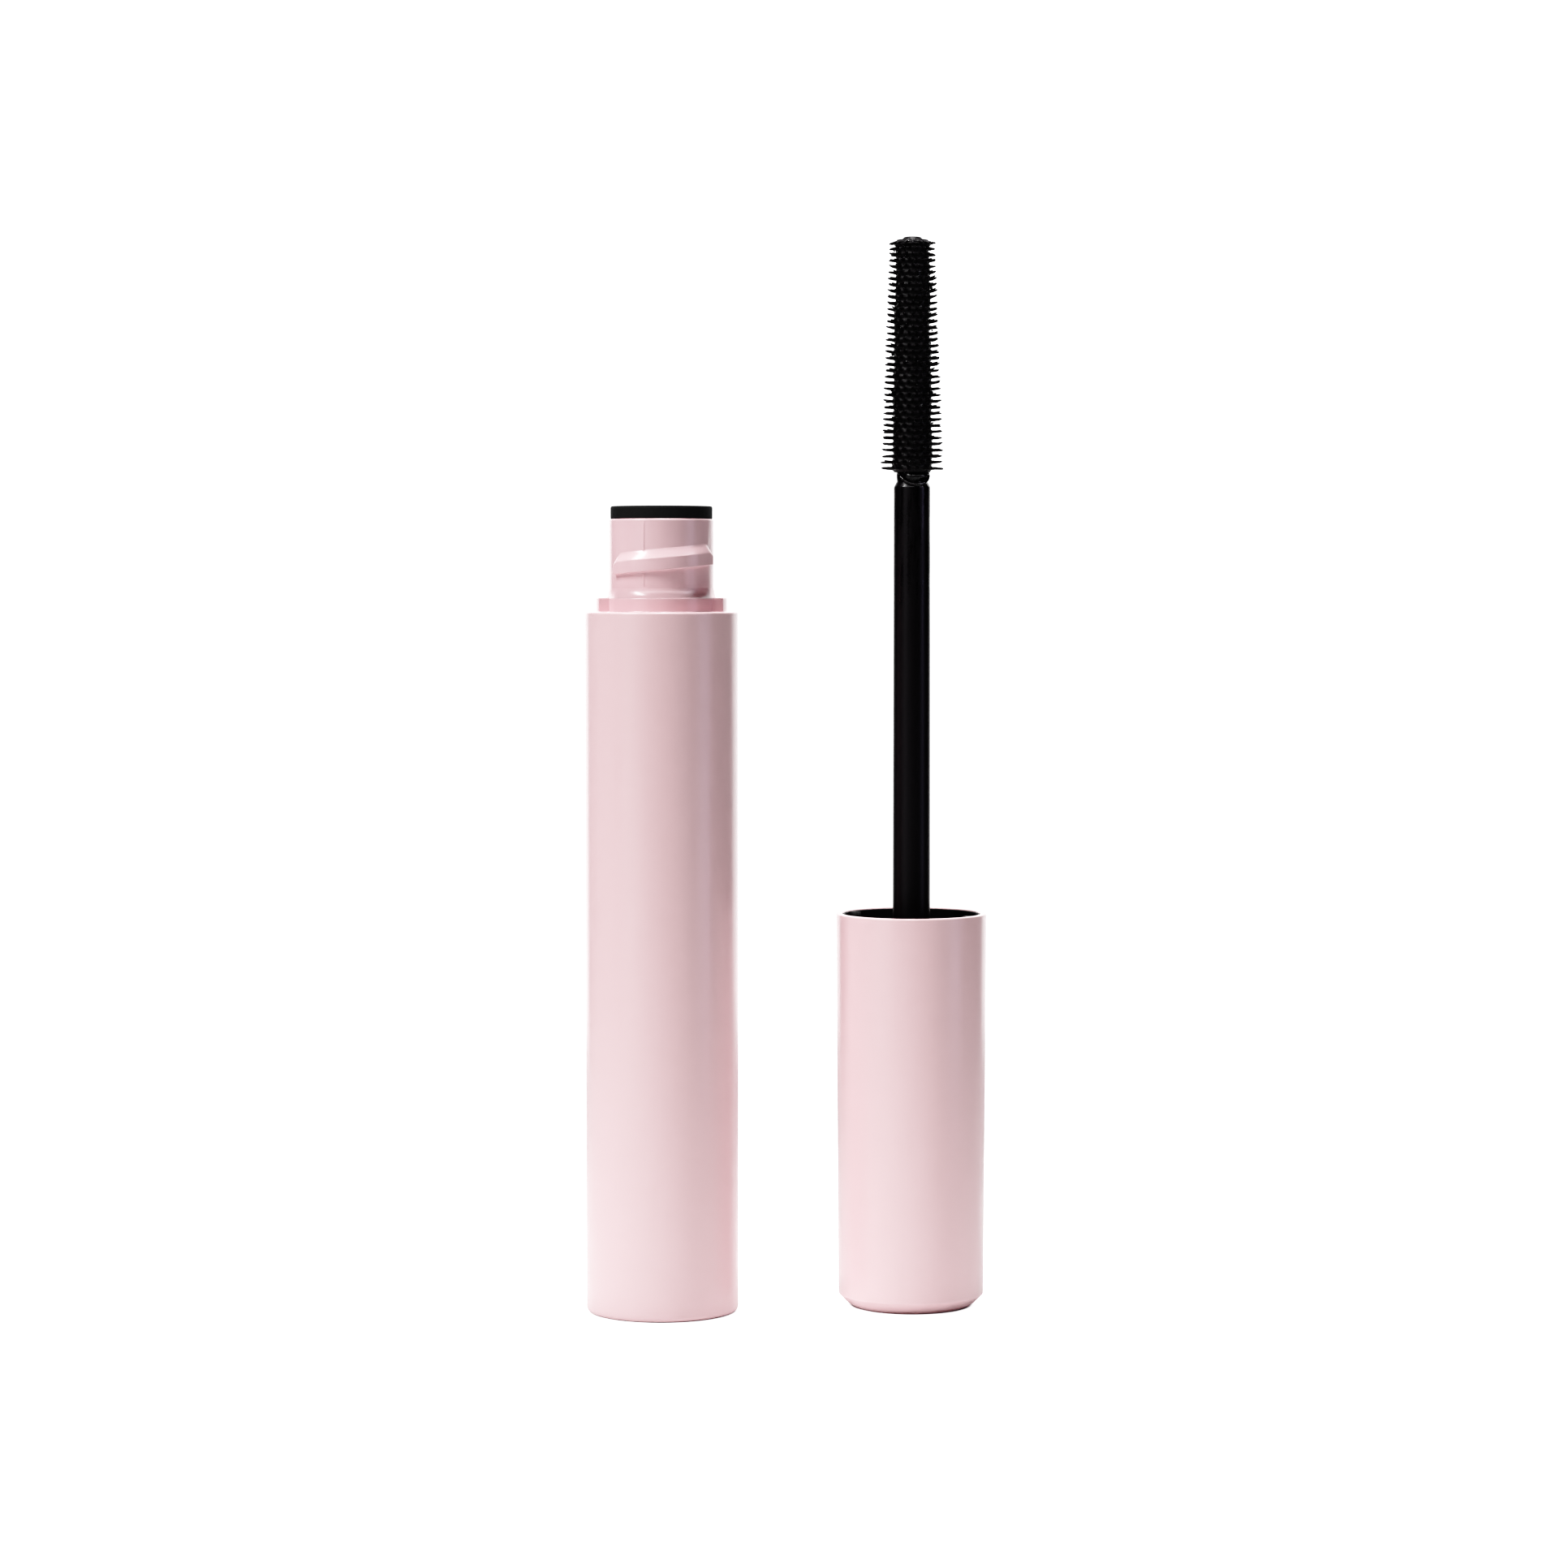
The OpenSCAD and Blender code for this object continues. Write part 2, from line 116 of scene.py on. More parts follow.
class TubeSizes(bpy.types.PropertyGroup):
    """Sizes of the tube: sleeve, vial, neck, thread and wiper"""
    sleeve_wall: length("Sleeve wall", "Wall of the sleeve", 1.0)
    sleeve_floor: length("Sleeve floor", "Thickness of the sleeve's floor", 0.8)
    foot_round: length("Foot radius", "Radius of the sleeve's lower outside edge", 0.6)
    rim_round: length("Rim radius", "Radius of the sleeve's upper outside edge", 0.2)
    label_recess: length("Label recess", "Depth of the recess that takes the base label", 0.2)
    flange_height: length("Flange height", "Height of the vial's flange in the sleeve's mouth", 1.2)
    flange_seat: length("Flange seat", "Width of the step that carries the flange", 0.33)
    vial_gap: length("Vial gap", "Radial gap between the vial and the sleeve", 0.2)
    vial_wall: length("Vial wall", "Wall of the vial's body", 1.05)
    neck_radius: length("Neck radius", "Outer radius of the neck", 6.0)
    neck_height: length("Neck height", "Height of the neck above the sleeve", 10.7)
    neck_wall: length("Neck wall", "Wall of the neck", 1.15)
    collar_step: length("Collar step", "How far the collar stands out from the neck", 0.4)
    collar_height: length("Collar height", "Height of the collar and its lugs", 1.65)
    cone_height: length("Cone height", "Height of the cone between collar and neck", 1.1)
    lug_radius: length("Lug radius", "Reach of the stop lugs from the axis", 7.55)
    lug_width: length("Lug width", "Width of each stop lug", 5.0)
    thread_depth: length("Thread depth", "How far a thread rib stands out", 0.55)
    thread_width: length("Thread width", "Width of a thread rib at its root", 2.4)
    thread_crest: length("Thread crest", "Width of a thread rib at its crest", 1.45)
    thread_lead: length("Thread lead", "Rise of the thread in a full turn", 3.4)
    thread_rise: length("Thread rise", "Height of the thread's lower end above the cone", 1.5)
    thread_corner: length("Thread corner", "Radius of a thread rib's upper corners", 1.2)
    thread_arc: turn_angle("Thread arc", "Angle that each thread rib covers", 125)
    thread_start: turn_angle("Thread start", "Where the front thread rib begins, from +X", 212)
    seam_turn: turn_angle("Parting line", "Where the neck's front parting line runs, from +X", 252)
    seam: length("Parting line height", "How far the neck's parting lines stand out", 0.07)
    wiper_flange: length("Wiper flange", "Thickness of the wiper's flange", 1.45)
    wiper_wall: length("Wiper wall", "Wall of the wiper's sleeve", 0.62)
    wiper_cone: length("Wiper cone", "Height of the wiping cone", 5.0)
    wiper_lip: length("Wiper lip", "Radius of the opening in the wiping lip", 2.25)


class WandSizes(bpy.types.PropertyGroup):
    """Sizes of the wand: cap, liner and stem"""
    cap_draft: length("Cap draft", "How much smaller in radius the cap's closed end is", 0.3)
    cap_wall: length("Cap wall", "Wall of the cap shell", 0.72)
    cap_end: length("Cap end", "Thickness of the cap's closed end", 1.2)
    cap_chamfer: length("Cap chamfer", "Size of the chamfer round the closed end", 1.4)
    liner_lip: length("Liner lip", "Wall of the liner's mouth", 0.33)
    liner_bore: length("Liner bore", "Radius of the liner's threaded bore", 6.95)
    liner_web: length("Liner web", "Thickness of the web that closes the liner", 1.6)
    liner_skirt: length("Liner skirt", "Wall of the liner behind the web", 0.9)
    boss_wall: length("Boss wall", "Wall of the boss that grips the stem", 1.45)
    stem_draft: length("Stem draft", "How much smaller in radius the stem's tip is", 0.08)
    stem_chamfer: length("Stem chamfer", "Chamfer round the stem's tip", 0.6)


class BrushSizes(bpy.types.PropertyGroup):
    """Sizes of the brush and of the wet film on it"""
    neck_radius: length("Bare neck radius", "Radius of the bare neck below the brush", 1.7)
    core_base: length("Core radius, base", "Radius of the core beside the bare neck", 2.15)
    core_tip: length("Core radius, tip", "Radius of the core beside the tip", 1.85)
    over_base: length("Brush radius, base", "Radius over the bristles beside the bare neck", 3.7)
    over_tip: length("Brush radius, tip", "Radius over the bristles beside the tip", 2.7)
    root: length("Bristle root", "Radius of a bristle at its root", 0.17)
    point: length("Bristle point", "Radius of a bristle at its point", 0.08)
    rings: bpy.props.IntProperty(name="Rings", description="Rings of bristles", default=38, min=2)
    count: bpy.props.IntProperty(name="Bristles", description="Bristles in a ring", default=16, min=3)
    beads: bpy.props.IntProperty(name="Beads", description="Beads of wet paste on the brush", default=90, min=0)


class Finishes(bpy.types.PropertyGroup):
    """Colours of the plastics and of the paste"""
    pink: colour("Shell pink", "Glossy pink of the sleeve and the cap", 0.80, 0.53, 0.536)
    neck_pink: colour("Neck pink", "Pink of the moulded neck", 0.82, 0.53, 0.535)
    black: colour("Black plastic", "Black of the liner, wiper and stem", 0.0115, 0.0095, 0.0115)
    paste: colour("Paste", "Black of the wet paste", 0.0090, 0.0070, 0.0085)
    film: colour("Label film", "Off-white of the base label", 0.78, 0.74, 0.74)
    floor: colour("Floor", "White of the floor", 0.93, 0.93, 0.93)


class StageSettings(bpy.types.PropertyGroup):
    """Camera and lights"""
    lens: bpy.props.FloatProperty(name="Lens", description="Focal length", default=93.2, unit="CAMERA")
    camera_x: length("Camera X", "Camera's place beside the tube's axis", 14.1)
    camera_back: length("Camera distance", "How far in front of the tube's axis the camera stands", 468)
    camera_z: length("Camera height", "Camera's height above the floor", 85)
    aim_z: length("Aim height", "Height of the point on the tube's plane that the camera looks at", 61.15)
    key: bpy.props.FloatProperty(name="Key light", description="Power of the key light", default=3.74, unit="POWER")
    pool: bpy.props.FloatProperty(name="Floor light", description="Power of the light over the floor", default=17.8,
                                  unit="POWER")
    backdrop: bpy.props.FloatProperty(name="Backdrop", description="Brightness of the white wall behind", default=2.2)
    screen: bpy.props.FloatProperty(name="Screen", description="Brightness of the screen on the left", default=1.0)
    side: bpy.props.FloatProperty(name="Side", description="Brightness of the screen on the right", default=0.55)
    strip: bpy.props.FloatProperty(name="Strip", description="Cool edge of the right screen, seen in gloss",
                                   default=1.5)
    card: bpy.props.FloatProperty(name="Card", description="Brightness of the card above the camera", default=5.0)
    room: bpy.props.FloatProperty(name="Room", description="Brightness of the rest of the room", default=0.01)
    table: length("Table radius", "Radius of the round white table top", 280)
    paper: bpy.props.FloatProperty(name="Paper white", description="Scene brightness that shows as white",
                                   default=1.5)


# ---- shapes ----

def outline(corners, closed=False, arc_steps=4):
    """Rows of radius and height: straight runs joined by arcs. A corner is (radius, height) or (radius, height,
    fillet). Each arc meets its runs fillet / tan(half the corner's angle) from the corner, and a guard point beyond
    it on each run keeps the flat beside it flat."""
    rows = []
    for i, corner in enumerate(corners):
        here = np.array(corner[:2])
        fillet = corner[2] if len(corner) == 3 else 0.0
        if fillet == 0.0 or (not closed and i in (0, len(corners) - 1)):
            rows.append(here)
            continue
        runs = [np.array(corners[j][:2]) - here for j in (i - 1, (i + 1) % len(corners))]
        sizes = [np.linalg.norm(run) for run in runs]
        u, v = runs[0] / sizes[0], runs[1] / sizes[1]
        half = math.acos(np.clip(u @ v, -1, 1)) / 2
        reach = fillet / math.tan(half)
        centre = here + (u + v) / np.linalg.norm(u + v) * fillet / math.sin(half)
        first, last = here + u * reach - centre, here + v * reach - centre
        start = math.atan2(first[1], first[0])
        sweep = (math.atan2(last[1], last[0]) - start + math.pi) % TURN - math.pi
        guards = [min(fillet, 0.2 * max(size - 2 * reach, 0)) for size in sizes]
        angles = start + sweep * np.linspace(0, 1, arc_steps + 1)
        if guards[0]:
            rows.append(here + u * (reach + guards[0]))
        rows.extend(centre + fillet * np.array([math.cos(a), math.sin(a)]) for a in angles)
        if guards[1]:
            rows.append(here + v * (reach + guards[1]))
    return np.array(rows)


def even_turn(columns):
    """Angles of a whole turn in equal steps, without the last, which is the first again."""
    return np.linspace(0, TURN, columns, endpoint=False)


def ring_points(radius, turn, height):
    """Points at radius times the cosine and sine of turn, and at height."""
    return np.stack(np.broadcast_arrays(radius * np.cos(turn), radius * np.sin(turn), height), axis=-1)


def revolve(rows, turn):
    """Grid of points: each row's radius and height carried round the axis through the angles of turn."""
    return ring_points(rows[:, :1], turn, rows[:, 1:])


def faces_of(rows, columns, ring):
    """Corner indices of a grid whose columns close on themselves. Its rows close too (ring), or its first and last
    rows are single points, so that the faces beside them are triangles."""
    ids = np.arange(rows * columns).reshape(rows, columns)
    if not ring:
        ids = np.vstack([np.zeros((1, columns), int), 1 + ids[:rows - 2],
                         np.full((1, columns), 1 + (rows - 2) * columns)])
    lower, upper = (ids, np.roll(ids, -1, 0)) if ring else (ids[:-1], ids[1:])
    quads = np.stack([lower, np.roll(lower, -1, 1), np.roll(upper, -1, 1), upper], axis=-1)
    if ring:
        return quads.reshape(-1, 4), np.zeros((0, 3), int)
    return quads[1:-1].reshape(-1, 4), np.vstack([quads[0][:, [0, 2, 3]], quads[-1][:, [0, 1, 2]]])


def shell(grid, ring=False):
    """Points, four-sided faces and triangles of one closed surface, or of many if the grid has four axes."""
    many = grid if grid.ndim == 4 else grid[None]
    copies, rows, columns = many.shape[:3]
    quads, triangles = faces_of(rows, columns, ring)
    if ring:
        points = many.reshape(copies, -1, 3)
    else:
        points = np.concatenate([many[:, :1, 0], many[:, 1:-1].reshape(copies, -1, 3), many[:, -1:, 0]], axis=1)
    steps = (np.arange(copies) * points.shape[1])[:, None, None]
    return points.reshape(-1, 3), (quads + steps).reshape(-1, 4), (triangles + steps).reshape(-1, 3)


def capped(grid):
    """The grid with its two end rows closed by a point at the middle of each."""
    ends = [np.broadcast_to(grid[..., i, :, :].mean(axis=-2)[..., None, None, :], grid[..., :1, :, :].shape)
            for i in (0, -1)]
    return np.concatenate([ends[0], grid, ends[1]], axis=-3)


def smooth_noise(size, rng, cells_a, cells_b):
    """A smooth random field from -1 to 1 on a grid that closes round: random values on coarse cells, joined by
    cosine steps."""
    field = rng.uniform(-1, 1, (cells_a + 1, cells_b + 1))
    field[:, -1] = field[:, 0]
    a = np.linspace(0, cells_a, size[0], endpoint=False)
    b = np.linspace(0, cells_b, size[1], endpoint=False)
    ia, ib = a.astype(int), b.astype(int)
    fa = ((1 - np.cos(math.pi * (a - ia))) / 2)[:, None]
    fb = ((1 - np.cos(math.pi * (b - ib))) / 2)[None]
    low = field[ia][:, ib] * (1 - fb) + field[ia][:, ib + 1] * fb
    high = field[ia + 1][:, ib] * (1 - fb) + field[ia + 1][:, ib + 1] * fb
    return low * (1 - fa) + high * fa


def put(name, shells, material, body, stands_for=None):
    """Makes one piece from its shells, moved to its body's axis, and fixes it to its body."""
    offsets = np.cumsum([0] + [len(part[0]) for part in shells[:-1]])
    axis = WAND_AXIS if body == "wand" else TUBE_AXIS
    points = np.concatenate([part[0] for part in shells]) + np.array(axis)
    faces = [face for part, offset in zip(shells, offsets) for kind in part[1:] for face in (kind + offset).tolist()]
    mesh = bpy.data.meshes.new(name)
    mesh.from_pydata(points.tolist(), [], faces)
    mesh.polygons.foreach_set("use_smooth", np.ones(len(faces), bool))
    mesh.validate()
    mesh.materials.append(material)
    piece = bpy.data.objects.new(name, mesh)
    bpy.context.scene.collection.objects.link(piece)
    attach(piece, body)
    if stands_for:
        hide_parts(stands_for)


# ---- finishes ----

def node(tree, kind, inputs=None, **settings):
    """Adds a node. An input given as a socket is linked, and any other is set."""
    new = tree.nodes.new("ShaderNode" + kind)
    for key, value in settings.items():
        setattr(new, key, value)
    for key, value in (inputs or {}).items():
        if isinstance(value, bpy.types.NodeSocket):
            tree.links.new(value, new.inputs[key])
        else:
            new.inputs[key].default_value = value
    return new


def maths(tree, operation, first, second=0.0, clamp=False):
    return node(tree, "Math", {0: first, 1: second}, operation=operation, use_clamp=clamp).outputs[0]


def ramp(tree, value, low, high, to_low=0.0, to_high=1.0):
    """A smooth step of value from low to high."""
    return node(tree, "MapRange", {"Value": value, "From Min": low, "From Max": high, "To Min": to_low,
                                   "To Max": to_high}, interpolation_type="SMOOTHSTEP").outputs["Result"]


def noise(tree, vector, scale, detail=2.0, roughness=0.5):
    return node(tree, "TexNoise", {"Vector": vector, "Scale": scale, "Detail": detail,
                                   "Roughness": roughness}).outputs["Fac"]


def feed(tree, inputs, **sockets):
    """Links each socket to the input of its name."""
    for key, socket in sockets.items():
        tree.links.new(socket, inputs[key.replace("_", " ")])


MIX_SOCKETS = {"FLOAT": (2, 3, 0), "VECTOR": (4, 5, 1), "RGBA": (6, 7, 2)}    # two inputs and the output


def blend(tree, factor, first, second, kind="RGBA"):
    """A mix of two colours, numbers or vectors."""
    a, b, mixed = MIX_SOCKETS[kind]
    return node(tree, "Mix", {0: factor, a: first, b: second}, data_type=kind).outputs[mixed]


def shade(colour, share):
    """A colour at a share of its brightness."""
    return tuple(c * share for c in colour[:3]) + (1.0,)


def new_group(name, inputs, outputs):
    """An empty node group with its sockets, its input node and its output node."""
    tree = bpy.data.node_groups.new(name, "ShaderNodeTree")
    for words, default in inputs:
        tree.interface.new_socket(name=words, in_out="INPUT", socket_type="NodeSocketFloat").default_value = default
    for words, kind in outputs:
        tree.interface.new_socket(name=words, in_out="OUTPUT", socket_type="NodeSocket" + kind)
    return tree, tree.nodes.new("NodeGroupInput").outputs, tree.nodes.new("NodeGroupOutput").inputs


def moulded_skin_group():
    """Injection-moulded plastic: a slow waviness, a fine orange peel, and faint wiping marks that vary the gloss."""
    tree, given, out = new_group("moulded_skin", [("Gloss", 0.15), ("Marks", 0.05), ("Peel", 0.1)],
                                 [("Roughness", "Float"), ("Normal", "Vector"), ("Tone", "Float")])
    place = node(tree, "TexCoord").outputs["Object"]
    along = node(tree, "Mapping", {"Vector": place, "Scale": (1.0, 1.0, 0.22)}).outputs["Vector"]
    peel = noise(tree, place, 2600.0, 3.0)
    waviness = noise(tree, along, 160.0, 1.0)
    wiped = noise(tree, along, 900.0, 5.0, 0.65)
    specks = ramp(tree, noise(tree, place, 5200.0, 1.0), 0.70, 0.80)
    marks = maths(tree, "MULTIPLY", maths(tree, "SUBTRACT", wiped, 0.5), given["Marks"])
    dull = maths(tree, "MULTIPLY", specks, given["Marks"])
    roughness = maths(tree, "ADD", maths(tree, "ADD", given["Gloss"], marks), dull, clamp=True)
    height = maths(tree, "ADD", maths(tree, "MULTIPLY", peel, 0.35), waviness)
    bump = node(tree, "Bump", {"Strength": given["Peel"], "Distance": 0.03 * MM, "Height": height})
    feed(tree, out, Roughness=roughness, Normal=bump.outputs["Normal"], Tone=waviness)
    return tree


def wet_paste_group():
    """Paste: lumps that run together, with a finer grain of pigment. It is satin (Dry is its roughness), and glossy
    where a noise lies above Shine."""
    tree, given, out = new_group("wet_paste", [("Lumps", 900.0), ("Depth", 0.5), ("Dry", 0.3), ("Shine", 0.5)],
                                 [("Roughness", "Float"), ("Normal", "Vector"), ("Streak", "Float")])
    place = node(tree, "TexCoord").outputs["Object"]
    lumps = noise(tree, place, given["Lumps"], 2.0)
    grain = noise(tree, place, 9000.0, 2.0)
    drawn = node(tree, "Mapping", {"Vector": place, "Scale": (1.0, 1.0, 0.12)}).outputs["Vector"]
    streak = ramp(tree, noise(tree, drawn, 1500.0, 3.0), 0.45, 0.62)
    height = maths(tree, "ADD", lumps, maths(tree, "MULTIPLY", grain, 0.15))
    bump = node(tree, "Bump", {"Strength": given["Depth"], "Distance": 0.1 * MM, "Height": height})
    above = maths(tree, "SUBTRACT", noise(tree, place, 1800.0, 3.0), given["Shine"])
    roughness = ramp(tree, above, -0.03, 0.03, given["Dry"], 0.08)
    feed(tree, out, Roughness=roughness, Normal=bump.outputs["Normal"], Streak=streak)
    return tree


def shared(group_maker, name, tree, **values):
    """Places a shared group, which is built the first time that it is asked for."""
    placed = tree.nodes.new("ShaderNodeGroup")
    placed.node_tree = bpy.data.node_groups.get(name) or group_maker()
    for key, value in values.items():
        placed.inputs[key].default_value = value
    return placed.outputs


def new_material(name, **settings):
    """A material with its Principled shader, whose plain sockets are set."""
    material = bpy.data.materials.new(name)
    material.use_nodes = True
    shader = material.node_tree.nodes["Principled BSDF"]
    for key, value in settings.items():
        shader.inputs[key.replace("_", " ")].default_value = value
    return material, material.node_tree, shader


def plastic(name, base, gloss, marks, peel, **settings):
    """Moulded plastic of one colour, varying slowly to 4 % deeper."""
    if name in bpy.data.materials:
        return bpy.data.materials[name]
    material, tree, shader = new_material(name, **settings)
    skin = shared(moulded_skin_group, "moulded_skin", tree, Gloss=gloss, Marks=marks, Peel=peel)
    feed(tree, shader.inputs, Base_Color=blend(tree, skin["Tone"], tuple(base), shade(base, 0.96)),
         Roughness=skin["Roughness"], Normal=skin["Normal"])
    return material


def pink_shell():
    return plastic("pink_gloss", finishes().pink, 0.06, 0.03, 0.03, Coat_Weight=0.5, Coat_Roughness=0.02)


def pink_neck():
    return plastic("pink_neck", finishes().neck_pink, 0.08, 0.04, 0.07, Coat_Weight=0.3, Coat_Roughness=0.04)


def black_liner():
    return plastic("black_liner", finishes().black, 0.38, 0.12, 0.25)


def black_wiper():
    return plastic("black_wiper", finishes().black, 0.34, 0.15, 0.2)


def paste_finish(name, dry, shine, **settings):
    """Paste of the given dryness and shine, with streaks of half its colour."""
    if name in bpy.data.materials:
        return bpy.data.materials[name]
    material, tree, shader = new_material(name, **settings)
    wet = shared(wet_paste_group, "wet_paste", tree, Lumps=2200.0, Depth=0.6, Dry=dry, Shine=shine)
    paste = finishes().paste
    feed(tree, shader.inputs, Base_Color=blend(tree, wet["Streak"], tuple(paste), shade(paste, 0.5)),
         Roughness=wet["Roughness"], Normal=wet["Normal"])
    return material


def wet_paste():
    """Paste that stands wet in the vial and in beads and strands."""
    return paste_finish("wet_paste", 0.3, 0.42)


def brush_paste():
    """Paste drawn thin over the brush: satin, with a few wet spots."""
    return paste_finish("brush_paste", 0.5, 0.64, Specular_IOR_Level=0.3)


def black_stem():
    """Satin black plastic, drawn through the wiper: streaks of wet film near its tip, drier towards the cap."""
    material, tree, shader = new_material("black_stem", Specular_IOR_Level=0.35)
    skin = shared(moulded_skin_group, "moulded_skin", tree, Gloss=0.36, Marks=0.12, Peel=0.2)
    wet = shared(wet_paste_group, "wet_paste", tree, Lumps=700.0, Depth=0.5, Dry=0.2, Shine=0.5)
    height = node(tree, "SeparateXYZ", {0: node(tree, "TexCoord").outputs["Object"]}).outputs["Z"]
    tip = top_of("stem")
    near_tip = ramp(tree, height, tip - 22 * MM, tip - 3 * MM, 0.0, 0.95)
    film = maths(tree, "MULTIPLY", wet["Streak"], near_tip)
    feed(tree, shader.inputs, Base_Color=blend(tree, film, tuple(finishes().black), tuple(finishes().paste)),
         Roughness=blend(tree, film, skin["Roughness"], wet["Roughness"], "FLOAT"),
         Normal=blend(tree, film, skin["Normal"], wet["Normal"], "VECTOR"))
    return material


def label_film():
    """Printed film: an off-white satin face with a fine border ring a little inside its edge."""
    material, tree, shader = new_material("label_film", Roughness=0.4)
    place = node(tree, "TexCoord").outputs["Object"]
    flat = node(tree, "VectorMath", {0: place, 1: (1.0, 1.0, 0.0)}, operation="MULTIPLY").outputs[0]
    reach = node(tree, "VectorMath", {0: flat}, operation="LENGTH").outputs["Value"]
    ring_radius = radius_of("base_label") - 0.7 * MM
    away = maths(tree, "ABSOLUTE", maths(tree, "SUBTRACT", reach, ring_radius))
    ring = ramp(tree, away, 0.08 * MM, 0.14 * MM, 1.0, 0.0)
    fibre = noise(tree, place, 3000.0, 4.0)
    paper = blend(tree, fibre, tuple(finishes().film), shade(finishes().film, 0.95))
    bump = node(tree, "Bump", {"Strength": 0.15, "Distance": 0.02 * MM, "Height": fibre})
    feed(tree, shader.inputs, Base_Color=blend(tree, ring, paper, (0.25, 0.2, 0.2, 1.0)),
         Normal=bump.outputs["Normal"])
    return material


# ---- settings of this scene ----

def tube_sizes():
    return bpy.context.scene.mascara_tube


def wand_sizes():
    return bpy.context.scene.mascara_wand


def brush_sizes():
    return bpy.context.scene.mascara_brush


def finishes():
    return bpy.context.scene.mascara_finishes


def stage_settings():
    return bpy.context.scene.mascara_stage


class MASCARA_OT_sleeve(bpy.types.Operator):
    """Add the tube's pink outer sleeve, with its rounded foot, its rim and the recess under its base"""
    bl_idname = "mascara.sleeve"
    bl_label = "Sleeve"

    def execute(self, context):
        s = tube_sizes()
        outer, height = radius_of("sleeve"), height_of("sleeve")
        bore = outer - s.sleeve_wall
        seat = bore + s.flange_seat
        label = radius_of("base_label") + 0.15 * MM
        floor = s.label_recess + s.sleeve_floor
        rows = outline([(0, s.label_recess), (label, s.label_recess, 0.05 * MM), (label, 0, 0.06 * MM),
                        (outer, 0, s.foot_round), (outer, height, s.rim_round), (seat, height, 0.08 * MM),
                        (seat, height - s.flange_height), (bore, height - s.flange_height),
                        (bore, floor, 0.8 * MM), (0, floor)])
        put("sleeve_shell", [shell(revolve(rows, even_turn(256)))], pink_shell(), "tube", "sleeve")
        return {"FINISHED"}


def smooth_step(value):
    """0 below 0, 1 above 1, and 3 v^2 - 2 v^3 between."""
    value = np.clip(value, 0, 1)
    return value * value * (3 - 2 * value)


def neck_turns(s):
    """Angles of the vial's columns: even ones, and close ones round each rib's ends and each lug's sides."""
    near_end = np.array([-0.3, -0.1, -0.04, 0.0, 0.04, 0.1, 0.2, 0.35, 0.5, 0.7, 0.95, 1.25]) * MM / s.neck_radius
    ends = np.concatenate([s.thread_start + near_end, s.thread_start + s.thread_arc - near_end])
    collar = s.neck_radius + s.collar_step
    sides = [math.asin(s.lug_width / 2 / r) for r in (s.lug_radius, collar)]
    near_side = np.array([-1.0, -0.25, 0.0, 0.25, 1.0]) * math.radians(1)
    lugs = np.concatenate([side + near_side for side in sides] + [-side - near_side for side in sides])
    seam = s.seam_turn + np.array([-0.22, -0.11, -0.05, 0.0, 0.05, 0.11, 0.22]) * MM / s.neck_radius
    close = np.concatenate([ends, lugs, seam])
    turns = np.concatenate([even_turn(224), close % TURN, (close + math.pi) % TURN])
    turns = np.unique(np.round(turns, 5))
    return turns[np.diff(turns, append=turns[0] + TURN) > math.radians(0.08)]


def seam_height(s, turn):
    """Height of the two parting lines over the neck: the seam times exp(-(distance / 0.1 mm)^2)."""
    away = np.abs((turn - s.seam_turn + math.pi / 2) % math.pi - math.pi / 2) * s.neck_radius
    return s.seam * np.exp(-(away / (0.1 * MM)) ** 2)


def thread_grid(s, turn, thread_z):
    """Grid of the neck through its two ribs. The rows follow the ribs: within an arc they rise by the lead in a turn,
    and between arcs they ease back. Radius is the neck's, plus the rib's depth times a mask that is 1 along the arc,
    plus the parting line where no rib covers it."""
    along = (turn - s.thread_start + math.radians(10)) % math.pi - math.radians(10)
    gap = math.pi - s.thread_arc
    eased = s.thread_arc * (1 - smooth_step((along - s.thread_arc) / gap))
    eased = np.where(along < 0, s.thread_arc * (1 - smooth_step((along + gap) / gap)), eased)
    inside = (along >= 0) & (along <= s.thread_arc)
    low = thread_z + s.thread_lead / TURN * np.where(inside, along, eased)
    from_start = along * s.neck_radius
    from_end = (s.thread_arc - along) * s.neck_radius
    mask = smooth_step(from_start / (0.1 * MM) + 0.5) * smooth_step(from_end / (0.1 * MM) + 0.5)
    corner = s.thread_corner

    def drop(distance):
        """How far a corner's arc lies under the rib's upper edge: r - sqrt(r^2 - (r - distance)^2)."""
        short = np.clip(corner - np.clip(distance, 0, None), 0, None)
        return corner - np.sqrt(corner ** 2 - short ** 2)

    width = s.thread_width - drop(from_start) - drop(from_end)
    crest = s.thread_crest * width / s.thread_width
    depth = s.thread_depth
    edge = 0.045 * MM    # how far each edge of a rib is eased
    bevel = width - crest
    # Each row's height over the rib's lower edge, and how far it stands out from the neck.
    rows = [(-0.35 * MM, 0), (-edge * 1.5, 0), (-edge / 2, edge / 2), (0, edge * 1.5), (0, depth - edge * 1.5),
            (edge / 2, depth - edge / 2), (edge * 1.5, depth), (edge * 4, depth), (crest - edge * 3, depth),
            (crest - edge, depth - edge * 0.1), (crest + edge, depth - edge * 0.9),
            (crest + bevel * 0.3, depth * 0.74), (crest + bevel * 0.7, depth * 0.34),
            (crest + bevel * 0.93, depth * 0.1), (width + edge, edge * 0.2), (width + edge * 3, 0)]
    covered = np.array([0.0] + [1.0] * 13 + [0.5, 0.0])[:, None]    # how far the rib hides the parting line
    radius = np.array([s.neck_radius + out * mask for _, out in rows])
    radius = radius + seam_height(s, turn) * (1 - covered * mask)
    return ring_points(radius, turn, np.array([low + up for up, _ in rows]))


